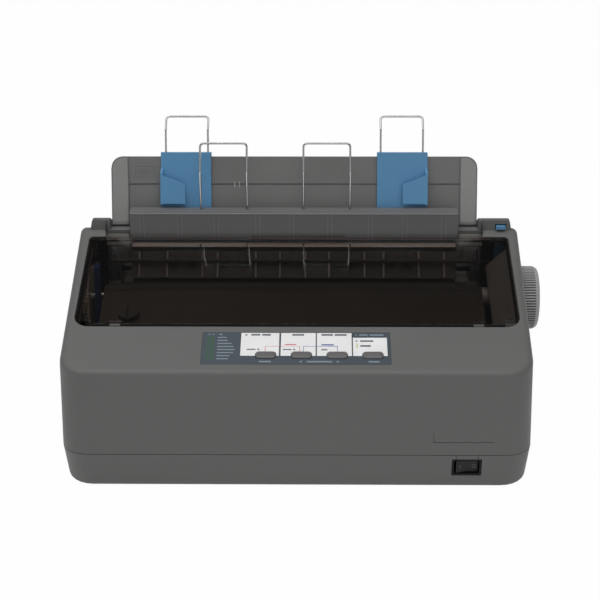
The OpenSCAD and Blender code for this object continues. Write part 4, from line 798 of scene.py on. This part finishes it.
# Polystyrene: harder and glossier than ABS
cartridge_styrene = moulded("polystyrene_cartridge", "#2a2824", 0.36, 0.0012, 0.00003, polish=0.05)
finer("ribbon_cartridge", "ribbon_cartridge_case", cartridge_styrene, 0.0009, 3)
cartridge_front, cartridge_top = 56, -9
cartridge_half = 146
lid_lines = bmesh.new()
lid = deck @ Matrix.Translation((paper_middle, cartridge_front, cartridge_top))
for s0, s1 in ((3.2, 4.2), (46.6, 47.6)):
    prism(lid_lines, lid, rectangle(-cartridge_half + 4, cartridge_half - 4, s0, s1), 0.35, -0.1)
for side in (-1, 1):
    inner, outer = sorted((side * (cartridge_half - 5), side * (cartridge_half - 4)))
    prism(lid_lines, lid, rectangle(inner, outer, 4.2, 46.6), 0.35, -0.1)
extra("cartridge_lid_rim", lid_lines, cartridge_styrene, "ribbon_cartridge")
# Behind the lid, a near-black strip lies along the rim of the tray
tray_rim = bmesh.new()
prism(tray_rim, lid, rectangle(-cartridge_half + 1.5, cartridge_half - 1.5, 48.2, 52.9), 0.15, -0.1)
dark_rim_styrene = moulded("near_black_polystyrene_rim", "#070707", 0.6, 0.0012, 0.00003, polish=0.0)
extra("cartridge_tray_rim", tray_rim, dark_rim_styrene, "ribbon_cartridge")
finer("ribbon_knob", "ribbon_winding_knob", cartridge_styrene, 0.0004)

# Inked nylon: a plain weave with threads 0.15 mm apart, drawn at 0.6 mm to show
ribbon_nylon, tree, shader, place = new_material("inked_woven_nylon")
thread = 0.0006
# Blender's wave repeats 20 times in a unit of its scale
warp, weft = (add(tree, "TexWave", {"bands_direction": way, "Scale": 1 / (thread * 20)}, {"Vector": place})
              for way in "XZ")
crossing = calculated(tree, "MAXIMUM", warp.outputs["Fac"], weft.outputs["Fac"])
surface(tree, shader, "#111113", span(tree, crossing, 0.6, 1.3, 0, 1), None,
        bumped(tree, crossing, 0.5, 0.0001))
shader.inputs["Roughness"].default_value = 0.85
shader.inputs["Sheen Weight"].default_value = 0.3
wear(ribbon_nylon, "ribbon")

# ---- Front flap ----
# A hollow flap of grey ABS that keeps the sheets upright, hinged on the beams of the
# upper case. Shallow bands on its front hide the sink marks of the ribs behind.

# The guide's ABS is a shade lighter than the deck's
guide_abs = moulded("abs_sheet_guide", "#777776", 0.52, 0.0009, 0.00008)
flap_front, flap_bottom, flap_height = step_y - 3.5, beam_top - 10.6, 27
flap_abs = moulded("abs_front_flap", "#6e6e6f", 0.5, 0.0009, 0.00008)
finer("front_flap", "front_flap_moulding", flap_abs, 0.0006, 3)
band_middles = [-125, -94.7, -65.5, -32.5, -5.6, 25, 57.4, 84.6, 115.7]
ridge_width, ridge_relief, ridge_spread = 0.8, 0.15, 1.7
bands = bmesh.new()
for x in [middle + side * ridge_spread for middle in band_middles for side in (-1, 1)]:
    prism(bands, front_view, rectangle(x - ridge_width / 2, x + ridge_width / 2,
                                       flap_bottom + 0.8, flap_bottom + flap_height - 1.3),
          -flap_front + ridge_relief, -flap_front - 0.1)
extra("front_flap_ridges", bands, moulded("abs_flap_ridges", "#7d7d7f", 0.5, 0.0009, 0.00004), "front_flap")
# A pale strip along the top of the flap's front: painted highlight on its rounded top edge
flap_highlight_strip = bmesh.new()
flap_half = 130.8
prism(flap_highlight_strip, front_view, rectangle(paper_middle - flap_half + 0.6, paper_middle + flap_half - 0.6,
                                  flap_bottom + flap_height - 1.3, flap_bottom + flap_height - 0.45),
      -flap_front + 0.3, -flap_front - 0.2)
extra("front_flap_painted_highlight", flap_highlight_strip, moulded("abs_flap_painted_highlight", "#a2a2a1", 0.4, 0.0009, 0.00002), "front_flap")

# ---- Wire stackers ----
# Four loops of drawn steel wire, nickel plated. Two stand in the flap and two behind
# the edge guides, and each bends back so that the sheets lean on it.


def sweep(shape, place, points, radius, sides=14):
    """Adds a round wire along points, closed at both ends."""
    path = [place @ Vector(point) for point in points]
    size = radius * 0.001
    rings, sideways = [], None
    for i, point in enumerate(path):
        ahead = (path[min(i + 1, len(path) - 1)] - path[max(i - 1, 0)]).normalized()
        sideways = sideways or ahead.cross(Vector((0, 1, 0))).normalized()
        sideways = (sideways - ahead * sideways.dot(ahead)).normalized()
        other = ahead.cross(sideways)
        rings.append([shape.verts.new(point + size * (math.cos(math.tau * k / sides) * sideways
                                                      + math.sin(math.tau * k / sides) * other))
                      for k in range(sides)])
    join_rings(shape, rings)
    shape.faces.new(rings[0][::-1])
    shape.faces.new(rings[-1])


def loop_points(half, leg, upper, bend, corner=3.0, bend_radius=4.0):
    """Half a wire loop's points, from its foot to the middle of its top, then mirrored."""
    lean = math.radians(bend)
    reach = bend_radius * math.tan(lean / 2)
    points = [(-half, 0, z) for z in (0, leg * 0.5, leg - reach)]
    for i in range(1, 8):
        a = lean * i / 8
        points.append((-half, bend_radius * (1 - math.cos(a)), leg - reach + bend_radius * math.sin(a)))
    steps = [reach, upper * 0.5, upper - corner]
    points += [(-half, d * math.sin(lean), leg + d * math.cos(lean)) for d in steps]
    for i in range(1, 7):
        a = math.radians(90) * i / 6
        d = upper - corner + corner * math.sin(a)
        points.append((-half + corner * (1 - math.cos(a)), d * math.sin(lean), leg + d * math.cos(lean)))
    return points + [(-x, y, z) for x, y, z in reversed(points)]


# Bright nickel on drawn wire, with fine lines of the die along it
wire_nickel = zinc_plate("bright_nickel_wire", "#b6b7b8", 0.14, 0.003, (1, 1, 0.05))
wire_radius = 0.85
front_half, front_leg, front_upper, front_bend = 18.5, 36.9, 23, 25
rear_half, rear_leg, rear_upper, rear_bend = 17, 31, 13, 35
wire_y = flap_front + 11.5 - 3
wire_foot = flap_bottom + flap_height - 6
for name, middle in (("left_front_wire", -59.4), ("right_front_wire", 22.5)):
    loop = bmesh.new()
    sweep(loop, bench @ Matrix.Translation((middle, wire_y, wire_foot)),
          loop_points(front_half, front_leg, front_upper, front_bend), wire_radius)
    finer(name, name.replace("wire", "stacker"), wire_nickel, 0.0, shape=loop, smooth=60)

# The sheet guide's frame: across it, to the rear, and up its slope
guide_lean = math.radians(17)
guide_foot = (paper_middle, step_y + 10, beam_top - 0.6)
guide = bench @ Matrix.Translation(guide_foot) @ Matrix.Rotation(-guide_lean, 4, "X")
guide_height = 56
for name, middle in (("left_rear_wire", -86.6), ("right_rear_wire", 86.6)):
    loop = bmesh.new()
    sweep(loop, guide @ Matrix.Translation((middle, 8, guide_height - 10)),
          loop_points(rear_half, rear_leg, rear_upper, rear_bend), wire_radius)
    finer(name, name.replace("wire", "stacker"), wire_nickel, 0.0, shape=loop, smooth=60)

# ---- Sheet guide ----
# The leaning board that single sheets stand against, grey ABS with a flange at each
# end. A groove across it guides the two edge guides, and two ticks mark a sheet's place.

finer("sheet_guide", "sheet_guide_board", guide_abs, 0.0006, 3)
guide_half, flange_width = 146.8, 13.8
# Across the guide, up it, and out of its front
guide_front = guide @ Matrix.Rotation(math.radians(90), 4, "X")
feet = bmesh.new()
for side in (-1, 1):
    inner, outer = sorted((side * (guide_half - flange_width + 0.3), side * (guide_half - 0.5)))
    prism(feet, guide_front, rectangle(inner, outer, 1.4, 3.4), 2.9, 1.3)
extra("sheet_guide_ledges", feet, guide_abs, "sheet_guide", 0.0003, 2)
# The flanges stand out, smoother and in a lighter grey: painted light, as more light falls on them than on
# the board
flange_light_abs = moulded("abs_flanges_painted_light", "#949493", 0.38, 0.0014, 0.00003)
faces = bmesh.new()
face_top, curve = guide_height - 0.9, 9.0
for side in (-1, 1):
    inner, outer = guide_half - flange_width + 0.5, guide_half - 0.9
    outline = [(inner, 3.6), (outer, 3.6)]
    for i in range(9):
        angle = math.radians(90 * i / 8)
        outline.append((outer - curve * (1 - math.cos(angle)), face_top - curve * (1 - math.sin(angle))))
    outline.append((inner, face_top))
    outline = [(side * x, z) for x, z in outline][::side]
    prism(faces, guide_front, outline, 1.66, -0.1)
extra("sheet_guide_flange_faces", faces, flange_light_abs, "sheet_guide", 0.0002, 1)
# A moulded sheet sign at the left: an outline of a page with three bars on it
sign = bmesh.new()
for x0, x1, z0, z1 in ((-128, -112, 40.0, 40.5), (-128, -112, 48.2, 48.7), (-128, -127.5, 40.5, 48.2),
                       (-112.5, -112, 40.5, 48.2), (-125, -115, 42.4, 42.9), (-125, -115, 44.2, 44.7),
                       (-125, -118, 46.0, 46.5)):
    prism(sign, guide_front, rectangle(x0, x1, z0, z1), 0.14, -0.05)
extra("sheet_guide_page_sign", sign, guide_abs, "sheet_guide")
ticks = bmesh.new()
for x in (-47.7, -43.9):
    prism(ticks, guide_front, rectangle(x - 0.35, x + 0.35, 31.6, 35.8), 0.1, -0.1)
extra("sheet_guide_ticks", ticks, printed("pale_pad_ink", "#bdbdbb"), "sheet_guide")

# ---- Edge guides ----
# The two guides for the sheet's edges, moulded in blue ABS. They hook over the guide
# and slide, and each has a lip that the sheet's edge runs behind.

# Blue ABS with the same fine grain, smoother where thumbs push it
blue_abs = moulded("abs_blue_guides", "#5c96c2", 0.42, 0.0009, 0.00006, edge=0.0006, polish=0.14)
for side in ("left", "right"):
    finer(side + "_edge_guide", side + "_edge_guide_moulding", blue_abs, 0.0006, 3)
    finer(side + "_tractor_door", side + "_tractor_door_moulding", blue_abs, 0.0004)
finer("release_lever", "release_lever_tip", blue_abs, 0.0006, 3)
# The lever under the cover is the same plastic in a deeper blue
navy_abs = moulded("abs_navy_lever", "#1f3567", 0.5, 0.0009, 0.00006, edge=0.0006, polish=0.05)
finer("thickness_lever", "thickness_lever_tip", navy_abs, 0.0006, 3)

# ---- Tractors ----
# Black tractors that pull holed paper in from the rear, with white sprockets and blue
# doors. They slide on a hexagon shaft and a round rod.

for side in ("left", "right"):
    finer(side + "_tractor", side + "_tractor_moulding", black_abs, 0.0004)

# ---- Stage ----
# A white table under soft daylight.

floor_mesh = bpy.data.meshes.new("table")
floor_shape = bmesh.new()
bmesh.ops.create_grid(floor_shape, x_segments=1, y_segments=1, size=12)
floor_shape.to_mesh(floor_mesh)
floor_shape.free()
table = in_scene("table", floor_mesh)
# Matt white paint, at full white for the eye and for what mirrors it
table_white, tree, shader, _ = new_material("white_table")
shader.inputs["Base Color"].default_value = hex_colour("#f4f4f4")
shader.inputs["Roughness"].default_value = 0.9
path = add(tree, "LightPath", {})
glow = add(tree, "Emission", {"Color": (1, 1, 1, 1), "Strength": 1.0})
seen = calculated(tree, "MAXIMUM", path.outputs["Is Camera Ray"], path.outputs["Is Glossy Ray"])
seen = calculated(tree, "MAXIMUM", seen, path.outputs["Is Transmission Ray"])
share = add(tree, "Math", {"operation": "MULTIPLY", 1: 0.98}, {0: seen})
mix = add(tree, "MixShader", {}, {0: share.outputs["Value"], 1: shader.outputs["BSDF"],
                                  2: glow.outputs["Emission"]})
tree.links.new(mix.outputs["Shader"], tree.nodes["Material Output"].inputs["Surface"])
floor_mesh.materials.append(table_white)


def softbox(name, place, size, watts):
    """A lamp of width and height size metres that looks at the printer's middle."""
    lamp = bpy.data.lights.new(name, "AREA")
    lamp.shape = "RECTANGLE"
    lamp.size, lamp.size_y = size
    lamp.energy = watts
    box = in_scene(name, lamp)
    box.location = place
    box.rotation_euler = (Vector((0, 0, 0.08)) - Vector(place)).to_track_quat("-Z", "Y").to_euler()


softbox("softbox_top", (-0.2, -0.3, 2.0), (2.2, 1.8), 30)
softbox("softbox_front", (0.7, -1.9, 0.9), (1.4, 1.0), 2.5)

# The room is pale near the horizon and dark overhead
world = bpy.data.worlds.new("room")
bpy.context.scene.world = world
world.use_nodes = True
tree = world.node_tree
heading = add(tree, "TexCoord", {}).outputs["Generated"]
height = add(tree, "SeparateXYZ", {}, {"Vector": heading})
ceiling = add(tree, "MapRange", {"interpolation_type": "SMOOTHSTEP", "From Min": 0.42, "From Max": 0.72,
                                 "To Min": 0.45, "To Max": 0.05}, {"Value": height.outputs["Z"]})
path = add(tree, "LightPath", {})
strength = add(tree, "Mix", {"data_type": "FLOAT", 3: 0.13},
               {0: path.outputs["Is Diffuse Ray"], 2: ceiling.outputs["Result"]})
tree.links.new(strength.outputs[0], tree.nodes["Background"].inputs["Strength"])
tree.nodes["Background"].inputs["Color"].default_value = (1, 1, 1, 1)

bpy.context.scene.view_settings.view_transform = "Standard"
